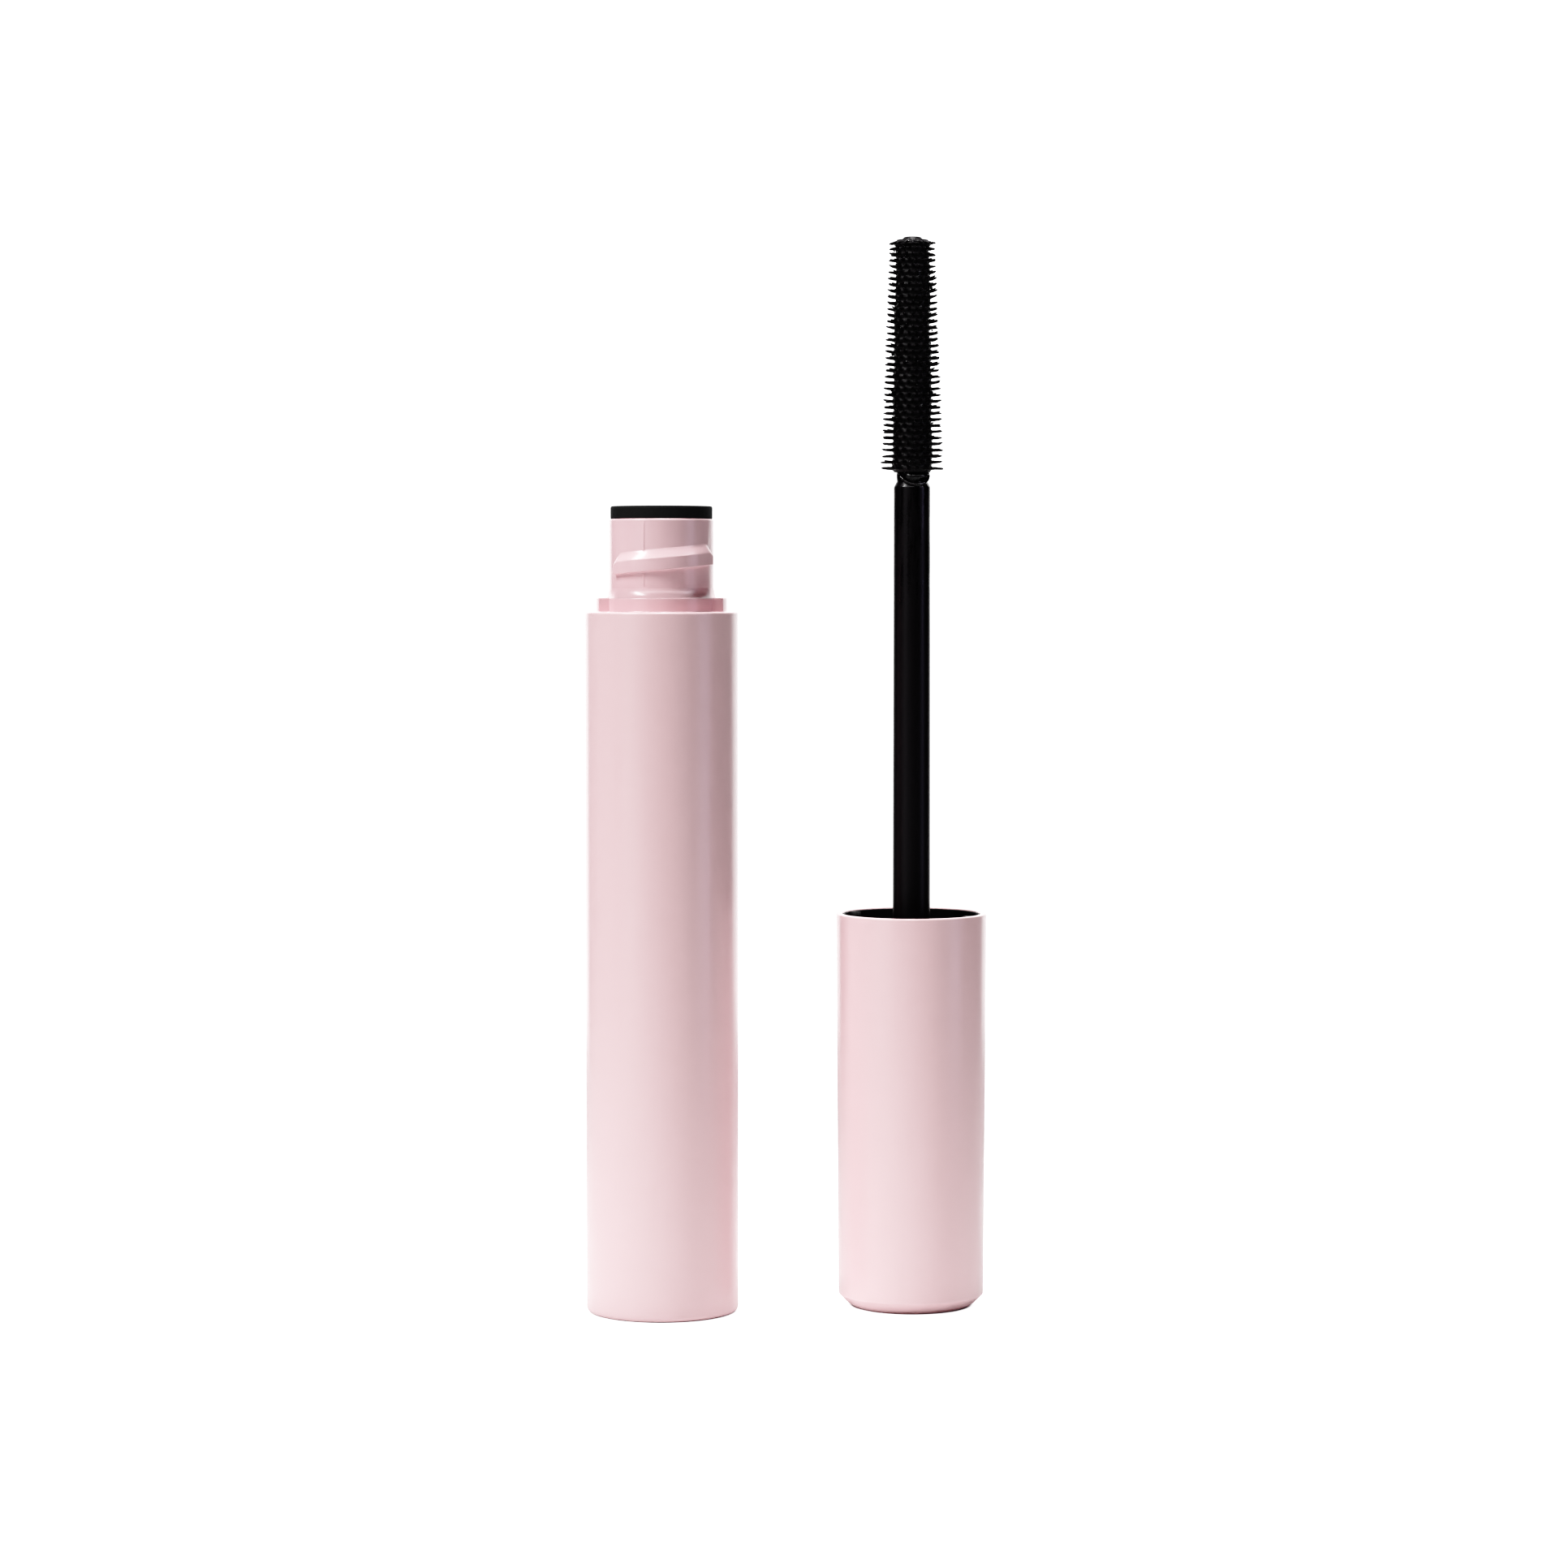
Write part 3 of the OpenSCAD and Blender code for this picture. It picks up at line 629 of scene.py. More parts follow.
def lug_reach(s, turn):
    """Radius of the collar with its lugs: each lug is cut by two planes parallel to X, so its side lies at half its
    width over the sine of the angle."""
    collar = s.neck_radius + s.collar_step
    beside = np.abs((turn + math.pi / 2) % math.pi - math.pi / 2)
    cut = s.lug_width / 2 / np.maximum(np.sin(beside), 1e-6)
    return np.where(cut > collar, np.minimum(cut, s.lug_radius), collar)


class MASCARA_OT_vial(bpy.types.Operator):
    """Add the moulded vial: its neck with two thread ribs, its collar with two stop lugs, and its body"""
    bl_idname = "mascara.vial"
    bl_label = "Vial"

    def execute(self, context):
        s = tube_sizes()
        turn = neck_turns(s)
        shoulder = height_of("sleeve")
        low = low_of("vial")
        body = radius_of("sleeve") - s.sleeve_wall - s.vial_gap
        flange = radius_of("vial")
        collar = s.neck_radius + s.collar_step
        collar_z = shoulder + s.collar_height
        cone_z = collar_z + s.cone_height
        neck_z = shoulder + s.neck_height
        bore = s.neck_radius - s.neck_wall
        inside = body - s.vial_wall
        shoulder_z = shoulder - s.flange_height
        floor_z = low + 0.8 * MM
        below = revolve(outline([(0, low), (body, low, 1.0 * MM), (body, shoulder_z), (flange, shoulder_z),
                                 (flange, shoulder, 0.08 * MM), (s.lug_radius + 0.2 * MM, shoulder)]), turn)
        reach = lug_reach(s, turn)
        # Rows of the collar, in millimetres out from its face and up from its foot or from its top.
        steps = [(out, shoulder + up * MM) for out, up in ((0.12, 0.0), (0.02, 0.03), (0.0, 0.14))]
        steps += [(out, collar_z + up * MM) for out, up in ((0.0, -0.3), (0.0, -0.12), (-0.04, -0.03), (-0.13, 0.0))]
        lugs = np.stack([ring_points(reach + out * MM, turn, height) for out, height in steps])
        cone = revolve(outline([(collar - 0.15 * MM, collar_z), (collar - 0.17 * MM, collar_z + 0.005 * MM),
                                (s.neck_radius, cone_z, 0.25 * MM), (s.neck_radius, cone_z + 0.5 * MM)]), turn)
        ribs = thread_grid(s, turn, cone_z + s.thread_rise)
        above = revolve(outline([(s.neck_radius, neck_z - 0.6 * MM), (s.neck_radius, neck_z, 0.25 * MM),
                                 (bore, neck_z, 0.1 * MM), (bore, shoulder_z),
                                 (inside, shoulder_z - (inside - bore) * 1.3),
                                 (inside, floor_z, 1.2 * MM), (0, floor_z)]), turn)
        for rows in (cone[-1:], above[:1]):
            rows[..., :2] *= 1 + seam_height(s, turn)[:, None] / s.neck_radius
        put("vial_moulding", [shell(np.concatenate([below, lugs, cone, ribs, above]))], pink_neck(), "tube",
            "vial")
        return {"FINISHED"}


class MASCARA_OT_wiper(bpy.types.Operator):
    """Add the black wiper: its flange on the neck, and the funnel and lip inside"""
    bl_idname = "mascara.wiper"
    bl_label = "Wiper"

    def execute(self, context):
        s = tube_sizes()
        flange, top, low = radius_of("wiper"), top_of("wiper"), low_of("wiper")
        base = top - s.wiper_flange
        outer = s.neck_radius - s.neck_wall - PRESS_GAP
        inner = outer - s.wiper_wall
        lip_h, lip_wall = 0.9 * MM, 0.5 * MM
        rows = outline([(flange, base, 0.07 * MM), (flange, top, 0.2 * MM), (inner + 0.45 * MM, top, 0.15 * MM),
                        (inner, top - 0.45 * MM, 0.2 * MM), (inner, low + s.wiper_cone + lip_h, 0.4 * MM),
                        (s.wiper_lip, low + lip_h, 0.3 * MM), (s.wiper_lip, low, 0.05 * MM),
                        (s.wiper_lip + lip_wall, low, 0.05 * MM), (s.wiper_lip + lip_wall, low + lip_h / 2),
                        (outer, low + s.wiper_cone), (outer, base)], closed=True)
        put("wiper_ring", [shell(revolve(rows, even_turn(192)), ring=True)], black_wiper(), "tube",
            "wiper")
        return {"FINISHED"}


class MASCARA_OT_filling(bpy.types.Operator):
    """Finish the paste in the vial and the film label under the base"""
    bl_idname = "mascara.filling"
    bl_label = "Filling and label"

    def execute(self, context):
        for name, material in (("mascara_fill", wet_paste()), ("base_label", label_film())):
            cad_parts[name].data.materials.clear()
            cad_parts[name].data.materials.append(material)
        return {"FINISHED"}


class MASCARA_OT_cap_shell(bpy.types.Operator):
    """Add the cap's pink shell, drafted, with a chamfer round its closed end"""
    bl_idname = "mascara.cap_shell"
    bl_label = "Cap shell"

    def execute(self, context):
        s = wand_sizes()
        mouth, height = radius_of("cap_shell"), height_of("cap_shell")

        def outer(z):
            """Outside radius at a height: the mouth's, less the draft's share of the way down."""
            return mouth - s.cap_draft * (height - z) / height

        c, inner_foot = s.cap_chamfer, s.cap_end
        rows = outline([(0, 0), (outer(c) - 1.2 * c, 0, 0.14 * MM), (outer(c) - 0.7 * c, 0.32 * c, 0.12 * MM),
                        (outer(c), c, 0.16 * MM), (mouth, height, 0.16 * MM),
                        (mouth - s.cap_wall, height, 0.12 * MM),
                        (outer(inner_foot) - s.cap_wall, inner_foot, 1.5 * MM), (0, inner_foot)])
        put("cap_shell_moulding", [shell(revolve(rows, even_turn(256)))], pink_shell(), "wand",
            "cap_shell")
        return {"FINISHED"}


def curved_block(section, start, sweep, rise):
    """A block bent round the axis: its section, clockwise in radius and height, turned from start by sweep and raised
    in step with it."""
    t = np.linspace(0, 1, 9)[:, None]
    turn = start + sweep * t
    radius, height = np.array(section).T
    return shell(capped(ring_points(radius, turn, height + rise * t)))


class MASCARA_OT_cap_liner(bpy.types.Operator):
    """Add the cap's black threaded liner, with its plug, its boss, its thread lugs and its stop teeth"""
    bl_idname = "mascara.cap_liner"
    bl_label = "Cap liner"

    def execute(self, context):
        s, t = wand_sizes(), tube_sizes()
        mouth_z, far_z = top_of("cap_liner"), low_of("cap_liner")
        outer = radius_of("cap_liner")
        home = top_of("cap_shell") + height_of("sleeve") + FACE_GAP    # cap height plus tube height, cap home
        web = home - top_of("wiper") - FACE_GAP
        web_back = web - s.liner_web
        step = home - (height_of("sleeve") + t.collar_height + 0.65 * MM)
        lip = outer - s.liner_lip
        plug = t.neck_radius - t.neck_wall - PRESS_GAP - t.wiper_wall - 0.3 * MM
        plug_bore, plug_z = plug - 0.6 * MM, web + 1.8 * MM
        socket = radius_of("stem") + PRESS_GAP
        boss = socket + s.boss_wall
        boss_z, socket_z = low_of("stem") - 1.3 * MM, low_of("stem") - FACE_GAP
        far_r = outer - 0.1 * MM
        skirt = far_r - s.liner_skirt
        rows = outline([(0, boss_z), (boss, boss_z, 0.2 * MM), (boss, web_back, 0.1 * MM),
                        (skirt, web_back, 0.1 * MM), (skirt, far_z, 0.1 * MM), (far_r, far_z, 0.1 * MM),
                        (outer, mouth_z, 0.12 * MM), (lip, mouth_z, 0.1 * MM), (lip, step, 0.08 * MM),
                        (s.liner_bore, step, 0.08 * MM), (s.liner_bore, web, 0.2 * MM), (plug, web, 0.1 * MM),
                        (plug, plug_z, 0.2 * MM), (plug_bore, plug_z, 0.12 * MM), (plug_bore, web, 0.1 * MM),
                        (socket, web, 0.05 * MM), (socket, socket_z), (0, socket_z)])
        parts = [shell(revolve(rows, even_turn(192)))]
        thread = home - (height_of("sleeve") + t.collar_height + t.cone_height + t.thread_rise)
        lug_low = thread + THREAD_GAP
        root, crest = s.liner_bore + 0.2 * MM, t.neck_radius + THREAD_GAP
        lug = [(root, lug_low), (crest, lug_low), (crest, lug_low + 0.9 * MM), (root, lug_low + 1.3 * MM)]
        sweep = math.radians(24)
        start = math.pi - t.thread_start - math.radians(2)
        stop_r, stop_root = t.neck_radius + t.collar_step + 0.35 * MM, lip + 0.1 * MM
        stop_start = -math.asin(t.lug_width / 2 / stop_r) - math.radians(1)
        stop_low = mouth_z - 1.2 * MM
        stop = [(stop_root, mouth_z), (stop_root, stop_low), (stop_r, stop_low), (stop_r, mouth_z)]
        for section, first, reach, rise in ((lug, start, -sweep, -t.thread_lead * sweep / TURN),
                                            (stop, stop_start, -math.radians(8), 0.0)):
            parts += [curved_block(section, first + half, reach, rise) for half in (0, math.pi)]
        put("cap_liner_moulding", parts, black_liner(), "wand", "cap_liner")
        return {"FINISHED"}


class MASCARA_OT_stem(bpy.types.Operator):
    """Add the black stem, with its draft, its chamfered tip and the bore that holds the brush"""
    bl_idname = "mascara.stem"
    bl_label = "Stem"

    def execute(self, context):
        s = wand_sizes()
        radius, low, top = radius_of("stem"), low_of("stem"), top_of("stem")
        tip = radius - s.stem_draft
        gripped = low + 9.5 * MM    # the part in the boss has no draft
        bore, bore_z = SHANK + PRESS_GAP, top - 7.35 * MM
        rows = outline([(0, low), (radius, low, 0.5 * MM), (radius, gripped),
                        (tip, top - 1.3 * s.stem_chamfer, 0.5 * MM), (tip - 0.7 * s.stem_chamfer, top, 0.12 * MM),
                        (bore, top), (bore, bore_z), (0, bore_z)])
        put("stem_rod", [shell(revolve(rows, even_turn(128)))], black_stem(), "wand", "stem")
        return {"FINISHED"}


# ---- the brush ----

def core_radius(s, share):
    """Radius of the brush's core at a share of its length, from 0 beside the bare neck to 1 at the tip."""
    return s.core_base + (s.core_tip - s.core_base) * share


def ring_heights(s):
    """Height of each ring of bristles, from the lowest up, evenly spaced."""
    return np.linspace(low_of("bristles"), top_of("bristles"), s.rings)


def bristle_turns(s):
    """Angle of each bristle, by ring and place in the ring: every other ring is turned by half a step."""
    ring = np.arange(s.rings)[:, None]
    place = np.arange(s.count)[None]
    odd = (s.rings - 1 - ring) % 2
    return math.pi - TURN * (place + odd / 2) / s.count


def bristle_grid(s, rng):
    """Every bristle as a curved, tapering spike. Along a spike, t from 0 to 1: its axis leaves the core outwards and
    bends by a share of t squared, and its radius falls from root to point as the square root of 1 - t, with a wet
    fillet exp(-t / 0.09) at the root."""
    heights = ring_heights(s)
    turn = bristle_turns(s)
    share = ((heights - heights[0]) / (heights[-1] - heights[0]))[:, None] + 0 * turn
    sink = 0.12 * MM
    core = core_radius(s, share) - sink
    over = s.over_base + (s.over_tip - s.over_base) * share
    reach = (over - core) * rng.uniform(0.90, 1.02, turn.shape)
    lift = (rng.normal(0.02, 0.07, turn.shape) + 0.24 * share - 0.42 * share ** 14) * MM
    sway = rng.normal(0, 0.08, turn.shape) * MM
    t = np.array([0.0, 0.06, 0.12, 0.2, 0.32, 0.5, 0.68, 0.84, 0.94, 0.985])
    thick = s.point + (s.root - s.point) * (1 - t) ** 0.5 + 0.13 * MM * np.exp(-t / 0.09)
    thick[-2:] = s.point * np.array([0.95, 0.55])
    thick = thick * rng.uniform(0.85, 1.15, turn.shape)[..., None]
    around = even_turn(8)
    thick, t_column = thick[..., None], t[:, None]
    core, reach, lift, sway, turn = (value[..., None, None] for value in (core, reach, lift, sway, turn))
    radial = (core + reach * t_column) + 0 * around
    side = sway * t_column ** 2 - thick * np.cos(around)
    rise = lift * t_column ** 2 + thick * np.sin(around) + heights[:, None, None, None]
    grid = np.stack([radial * np.cos(turn) - side * np.sin(turn), radial * np.sin(turn) + side * np.cos(turn), rise],
                    axis=-1)
    return capped(grid.reshape(-1, len(t), len(around), 3))


def film_grid(s, rng):
    """Paste between the bristles: the core's radius, plus a coat that thins to the tip, plus a ridge
    exp(-(distance / 0.17 mm)^2) at each ring that is higher beside each bristle, plus slow and fine lumps."""
    rows, columns = s.rings * 7, s.count * 9
    low, high = ring_heights(s)[[0, -1]]
    height = np.linspace(low - 0.45 * MM, high + 0.3 * MM, rows)[:, None]
    turn = even_turn(columns)[None]
    pitch = (high - low) / (s.rings - 1)
    ring = (height - low) / pitch
    away = np.abs(ring - np.round(ring)) * pitch
    odd = (s.rings - 1 - np.round(ring)) % 2
    beside = 0.5 + 0.5 * np.cos(s.count * (math.pi - turn) - math.pi * odd)
    ridge = np.exp(-(away / (0.17 * MM)) ** 2) * (0.35 + 0.65 * beside ** 3)
    lumps = smooth_noise((rows, columns), rng, 26, 9) * 0.10 + smooth_noise((rows, columns), rng, 80, 40) * 0.05
    share = np.clip((height - low) / (high - low), 0, 1)
    fade = smooth_step((height - height[0]) / (0.4 * MM)) * smooth_step((height[-1] - height) / (0.3 * MM))
    coat = (0.14 - 0.12 * share + 0.32 * ridge + lumps) * MM * fade - 0.03 * MM * (1 - fade)
    radius = core_radius(s, share) + coat
    return capped(ring_points(radius, turn, height))


def ball_grid(centres, sizes):
    """Small balls: each point is the centre plus the ball's three half-widths times a point of the unit sphere."""
    polar = np.linspace(0, math.pi, 7)[:, None]
    around = even_turn(8)[None]
    unit = np.stack([-np.sin(polar) * np.cos(around), np.sin(polar) * np.sin(around),
                     np.cos(polar) + 0 * around], axis=-1)
    return centres[:, None, None] + sizes[:, None, None] * unit


def bead_grid(s, rng):
    """Beads of wet paste caught between the bristles, at random heights, angles and depths."""
    share = rng.uniform(0, 1, s.beads)
    turn = rng.uniform(0, TURN, s.beads)
    low, high = ring_heights(s)[[0, -1]]
    size = rng.uniform(0.09, 0.17, s.beads) * MM
    radius = core_radius(s, share) + rng.uniform(0.1, 0.42, s.beads) * MM
    centres = ring_points(radius, turn, low + (high - low) * share)
    return ball_grid(centres, size[:, None] * rng.uniform(0.8, 1.25, (s.beads, 3)))


def tube_along(path, thickness):
    """A round strand: circles of the given radius, square to the path's direction at each of its points."""
    ahead = np.gradient(path, axis=0)
    ahead /= np.linalg.norm(ahead, axis=1, keepdims=True)
    outward = path * np.array([1, 1, 0])
    outward /= np.linalg.norm(outward, axis=1, keepdims=True)
    beside = np.cross(ahead, outward)
    outward = np.cross(beside, ahead)
    around = even_turn(12)[None, :, None]
    circle = outward[:, None] * np.cos(around) - beside[:, None] * np.sin(around)
    return capped(path[:, None] + thickness[:, None, None] * circle)


def collar_grid(s, rng):
    """Ring of paste on the bare neck: the neck's radius, plus a belly exp(-((share - 0.42) / 0.16)^2) that is fullest
    on one side, plus lumps, faded at both ends, and flaring by 0.4 mm where it meets the core."""
    rows, columns = 40, 96
    share = np.linspace(0, 1, rows)[:, None]
    turn = even_turn(columns)[None]
    height = top_of("stem") - 0.25 * MM + 1.8 * MM * share + 0 * turn
    belly = np.exp(-((share - 0.42) / 0.16) ** 2) * np.exp(np.cos(turn - math.radians(-12)) * 2.0 - 2.0) * 0.34
    lumps = smooth_noise((rows, columns), rng, 3, 5) * 0.11
    ends = smooth_step(share / 0.18) * smooth_step((1 - share) / 0.15)
    radius = s.neck_radius + (0.08 + (belly + lumps) * ends) * MM + 0.4 * MM * smooth_step((share - 0.75) / 0.25)
    return capped(ring_points(radius, turn, height))


def strand_grid(s):
    """Strand of paste that hangs round the front of the bare neck: with sweep from -1 to 1, it rises by 1.45 mm times
    sweep squared, and stands off the neck by up to 0.3 mm in the middle."""
    sweep = np.linspace(-1, 1, 48)
    turn = FRONT + math.radians(14) + sweep * math.radians(72)
    height = top_of("stem") - 0.5 * MM + 1.45 * MM * sweep ** 2
    reach = s.neck_radius + 0.16 * MM + 0.3 * MM * (1 - sweep ** 2) ** 0.7
    thickness = (0.2 - 0.1 * np.abs(sweep) + 0.02 * np.cos(9 * sweep)) * MM
    return tube_along(ring_points(reach, turn, height), thickness)


class MASCARA_OT_brush(bpy.types.Operator):
    """Add the moulded brush: its core with shank and tip, and its rings of bristles"""
    bl_idname = "mascara.brush"
    bl_label = "Brush"

    def execute(self, context):
        s = brush_sizes()
        rng = np.random.default_rng(SEED)
        shank_z, tip = low_of("brush_core"), top_of("brush_core")
        stem = top_of("stem")
        core_z = stem + 1.1 * MM
        rows = outline([(0, shank_z), (SHANK, shank_z, 0.3 * MM), (SHANK, stem + FACE_GAP),
                        (s.neck_radius - 0.1 * MM, stem + FACE_GAP, 0.1 * MM),
                        (s.neck_radius, stem + 0.3 * MM, 0.15 * MM), (s.neck_radius, core_z - 0.25 * MM, 0.2 * MM),
                        (s.core_base, core_z + 0.35 * MM, 0.3 * MM), (s.core_tip, tip - 1.25 * MM, 0.1 * MM),
                        (s.over_tip - 0.45 * MM, tip - 0.86 * MM, 0.06 * MM),
                        (s.core_tip - 0.35 * MM, tip - 0.62 * MM, 0.6 * MM), (0.95 * MM, tip - 0.03 * MM, 0.3 * MM),
                        (0, tip)])
        for name, grid, node_name in (("brush_core_moulding", revolve(rows, even_turn(96)), "brush_core"),
                                      ("brush_bristles", bristle_grid(s, rng), "bristles")):
            put(name, [shell(grid)], brush_paste(), "wand", node_name)
        return {"FINISHED"}


class MASCARA_OT_paste(bpy.types.Operator):
    """Add the wet paste on the wand: the film between the bristles, its beads, and the collar and strand below"""
    bl_idname = "mascara.paste"
    bl_label = "Paste on the brush"

    def execute(self, context):
        s = brush_sizes()
        rng = np.random.default_rng(SEED + 1)
        for name, grid, finish in (("paste_film", film_grid(s, rng), brush_paste()),
                                   ("paste_beads", bead_grid(s, rng), wet_paste()),
                                   ("paste_collar", collar_grid(s, rng), wet_paste()),
                                   ("paste_strand", strand_grid(s), wet_paste())):
            put(name, [shell(grid)], finish, "wand")
        return {"FINISHED"}


# ---- stage ----

def aim(thing, target):
    """Turns a light or a camera so that it looks at a point."""
    direction = target - thing.location
    thing.rotation_euler = direction.to_track_quat("-Z", "Y").to_euler()


def add_light(name, kind, place, target, power, **settings):
    """A light of the given kind and power at a place, turned to its target."""
    light = bpy.data.lights.new(name, kind)
    light.energy = power
    for key, value in settings.items():
        setattr(light, key, value)
    lamp = bpy.data.objects.new(name, light)
    bpy.context.scene.collection.objects.link(lamp)
    vector = type(lamp.location)
    lamp.location = vector(place)
    aim(lamp, vector(target))


def degrees_from(tree, value, middle, half, soft=6.0):
    """1 within half of the middle, in degrees, and 0 beyond, with a soft edge."""
    away = maths(tree, "ABSOLUTE", maths(tree, "SUBTRACT", value, middle))
    return ramp(tree, away, half - soft / 2, half + soft / 2, 1.0, 0.0)


def studio(s):
    """World light: a dim room with a white backdrop, a soft screen on each side, and a cool strip on the right and a
    card above the camera that show only in gloss. Bearings are in degrees from the camera's side, to the right. What
    the camera sees directly is white."""
    world = bpy.data.worlds.new("studio")
    bpy.context.scene.world = world
    world.use_nodes = True
    tree = world.node_tree
    tree.nodes.clear()
    direction = node(tree, "SeparateXYZ", {0: node(tree, "TexCoord").outputs["Generated"]}).outputs
    front = maths(tree, "MULTIPLY", direction["Y"], -1.0)
    bearing = maths(tree, "DEGREES", maths(tree, "ARCTAN2", direction["X"], front))
    rise = maths(tree, "DEGREES", maths(tree, "ARCSINE", direction["Z"]))
    behind = maths(tree, "ADD", ramp(tree, bearing, 134.0, 138.0), ramp(tree, bearing, -143.0, -148.0))
    left, left_edge, right = (degrees_from(tree, bearing, middle, half)
                              for middle, half in ((-45.0, 15.0), (-15.0, 15.0), (68.0, 12.0)))
    total = s.room
    for place, strength in ((behind, s.backdrop), (left, s.screen), (left_edge, s.screen * 0.25), (right, s.side)):
        total = maths(tree, "ADD", maths(tree, "MULTIPLY", place, strength), total)
    path = node(tree, "LightPath").outputs
    low = maths(tree, "MULTIPLY", ramp(tree, rise, 48.0, 52.0, 1.0, 0.0), ramp(tree, rise, -62.0, -58.0))
    over = maths(tree, "MULTIPLY", degrees_from(tree, bearing, 18.0, 62.0, 16.0),
                 degrees_from(tree, rise, 36.0, 9.0))
    card = maths(tree, "MULTIPLY", maths(tree, "MULTIPLY", over, path["Is Glossy Ray"]), s.card)
    total = maths(tree, "ADD", total, card)
    white = node(tree, "Background", {"Color": WHITE, "Strength": maths(tree, "MULTIPLY", total, low)})
    edges = maths(tree, "MULTIPLY", ramp(tree, bearing, 54.0, 66.0), ramp(tree, bearing, 78.0, 80.0, 1.0, 0.0))
    cool = maths(tree, "MULTIPLY", maths(tree, "MULTIPLY", edges, low), path["Is Glossy Ray"])
    strip = node(tree, "Background", {"Color": (0.70, 0.66, 1.0, 1.0),
                                      "Strength": maths(tree, "MULTIPLY", cool, s.strip)})
    lit = node(tree, "AddShader", {0: white.outputs[0], 1: strip.outputs[0]})
    seen = node(tree, "Background", {"Color": WHITE, "Strength": s.paper * 1.2})
    mix = node(tree, "MixShader", {0: path["Is Camera Ray"], 1: lit.outputs[0], 2: seen.outputs[0]})
    node(tree, "OutputWorld", {"Surface": mix.outputs[0]})


def floor_material(s):
    """A matt white floor with a faint paper grain. A painted glow that only the camera sees over-exposes it to white
    clear of the pieces, and fades out just beside their feet, where their rendered contact shade shows.
    """
    material, tree, shader = new_material("floor_white", Roughness=0.9, Specular_IOR_Level=0.1, Emission_Color=WHITE)
    place = node(tree, "TexCoord").outputs["Object"]
    grain = noise(tree, place, 900.0, 4.0)
    white = tuple(finishes().floor)
    wand = wand_sizes()
    feet = ((TUBE_AXIS, radius_of("sleeve") - tube_sizes().foot_round),
            (WAND_AXIS, radius_of("cap_shell") - wand.cap_draft - 1.2 * wand.cap_chamfer))
    clear = []
    for axis, radius in feet:
        away = node(tree, "VectorMath", {0: place, 1: axis}, operation="DISTANCE").outputs["Value"]
        clear.append(maths(tree, "SUBTRACT", away, radius))
    nearest = maths(tree, "MINIMUM", *clear)
    camera = node(tree, "LightPath").outputs["Is Camera Ray"]
    # painted glow: emission seen only by camera rays, off within 0.1 mm of each foot and full from 0.6 mm out
    glow = maths(tree, "MULTIPLY", camera, ramp(tree, nearest, 0.1 * MM, 0.6 * MM, 0.0, s.paper * 0.85))
    feed(tree, shader.inputs, Base_Color=blend(tree, grain, white, shade(white, 0.99)), Emission_Strength=glow)
    return material


def tone(scene, paper):
    """Film response: shadows a little deeper, and a soft shoulder up to paper white."""
    scene.view_settings.view_transform = "Standard"
    scene.view_settings.use_curve_mapping = True
    mapping = scene.view_settings.curve_mapping
    mapping.white_level = (paper, paper, paper)
    for point in ((0.033, 0.012), (0.167, 0.24), (0.333, 0.52), (0.5, 0.745), (0.667, 0.885), (0.833, 0.97)):
        mapping.curves[3].points.new(*point)
    mapping.update()


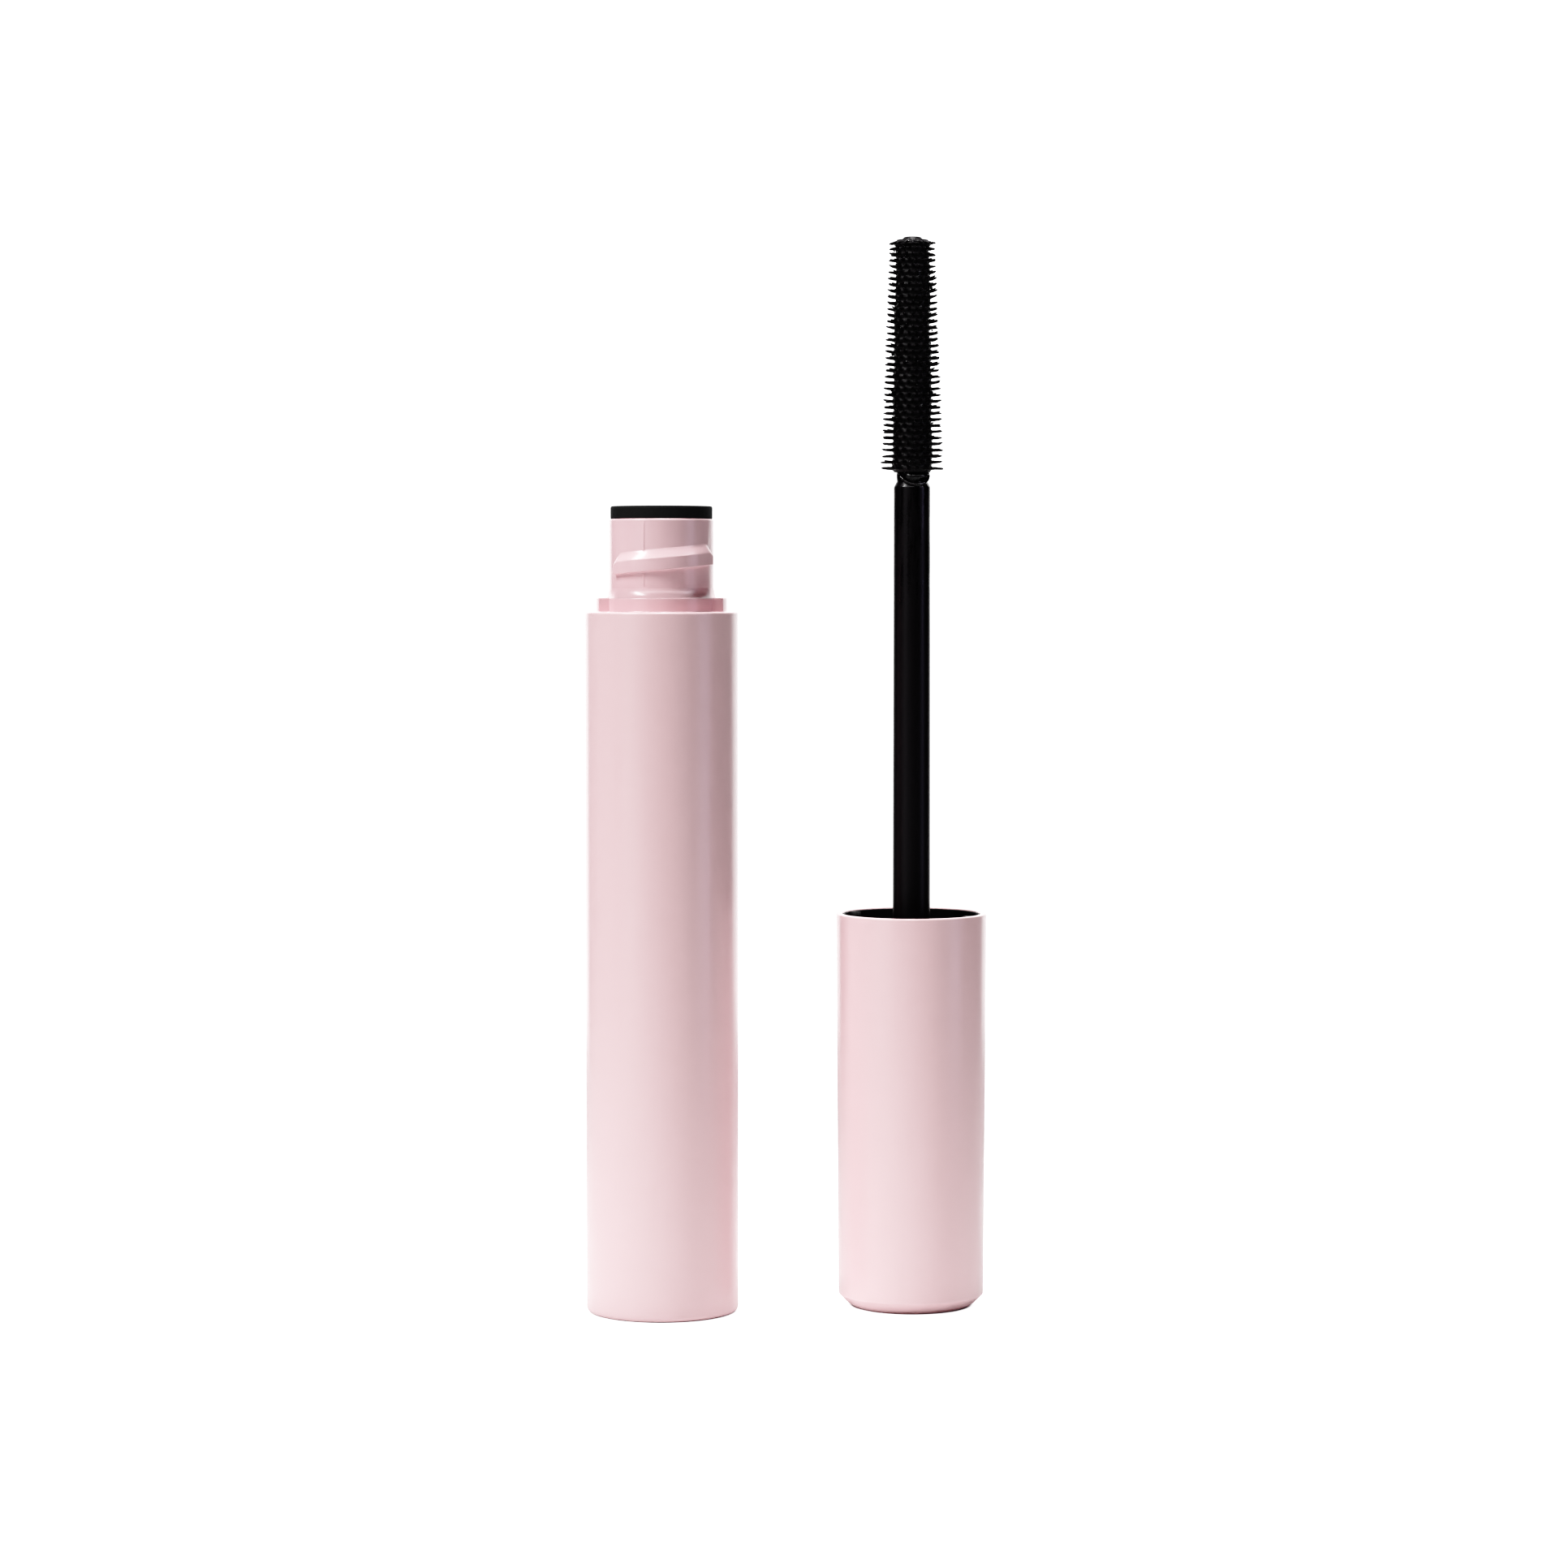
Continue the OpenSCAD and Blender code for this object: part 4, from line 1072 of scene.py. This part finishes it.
class MASCARA_OT_stage(bpy.types.Operator):
    """Add the white floor, the soft studio lights and the camera"""
    bl_idname = "mascara.stage"
    bl_label = "Stage"

    def execute(self, context):
        s = stage_settings()
        scene = context.scene
        tone(scene, s.paper)
        studio(s)
        mesh = bpy.data.meshes.new("floor")
        edge = ring_points(s.table, even_turn(96), 0.0) + np.array((s.camera_x, 0.0, 0.0))
        mesh.from_pydata(edge.tolist(), [], [range(len(edge))])
        mesh.materials.append(floor_material(s))
        floor = bpy.data.objects.new("floor", mesh)
        scene.collection.objects.link(floor)
        middle = (s.camera_x, 0.0, s.aim_z)
        add_light("key_softbox", "AREA", (-0.41, -0.226, 0.542), middle, s.key, shape="RECTANGLE", size=0.12,
                  size_y=0.30)
        lamp_height, pool_radius = 0.7, 0.16
        add_light("floor_light", "SPOT", (s.camera_x, 0.0, lamp_height), (s.camera_x, 0.001, 0.0), s.pool,
                  spot_size=2 * math.atan(pool_radius / lamp_height), spot_blend=0.7, shadow_soft_size=0.06)
        camera = bpy.data.objects.new("camera", bpy.data.cameras.new("camera"))
        scene.collection.objects.link(camera)
        camera.data.sensor_width = 36.0
        camera.data.lens = s.lens
        camera.data.clip_start, camera.data.clip_end = 0.01, 30.0
        vector = type(camera.location)
        camera.location = vector((s.camera_x, -s.camera_back, s.camera_z))
        aim(camera, vector(middle))
        scene.camera = camera
        return {"FINISHED"}


# ---- add-on ----

class MASCARA_PT_panel(bpy.types.Panel):
    """Sizes, finishes and steps of the mascara tube"""
    bl_idname = "MASCARA_PT_panel"
    bl_label = "Mascara tube"
    bl_space_type = "VIEW_3D"
    bl_region_type = "UI"
    bl_category = "Mascara"

    def draw(self, context):
        for holder in SETTINGS:
            box = self.layout.box()
            settings = getattr(context.scene, holder)
            for key in settings.__annotations__:
                box.prop(settings, key)
        for operator in OPERATORS:
            self.layout.operator(operator.bl_idname)


SETTINGS = {"mascara_tube": TubeSizes, "mascara_wand": WandSizes, "mascara_brush": BrushSizes,
            "mascara_finishes": Finishes, "mascara_stage": StageSettings}
OPERATORS = (MASCARA_OT_stage, MASCARA_OT_sleeve, MASCARA_OT_vial, MASCARA_OT_wiper, MASCARA_OT_filling,
             MASCARA_OT_cap_shell, MASCARA_OT_cap_liner, MASCARA_OT_stem, MASCARA_OT_brush, MASCARA_OT_paste)


def register():
    for holder, settings in SETTINGS.items():
        bpy.utils.register_class(settings)
        setattr(bpy.types.Scene, holder, bpy.props.PointerProperty(type=settings))
    for operator in OPERATORS:
        bpy.utils.register_class(operator)
    bpy.utils.register_class(MASCARA_PT_panel)


def unregister():
    bpy.utils.unregister_class(MASCARA_PT_panel)
    for operator in reversed(OPERATORS):
        bpy.utils.unregister_class(operator)
    for holder, settings in SETTINGS.items():
        delattr(bpy.types.Scene, holder)
        bpy.utils.unregister_class(settings)


def main():
    register()
    for operator in OPERATORS:
        step = operator.bl_idname.split(".")[1]
        getattr(bpy.ops.mascara, step)()


if __name__ == "__main__":
    main()
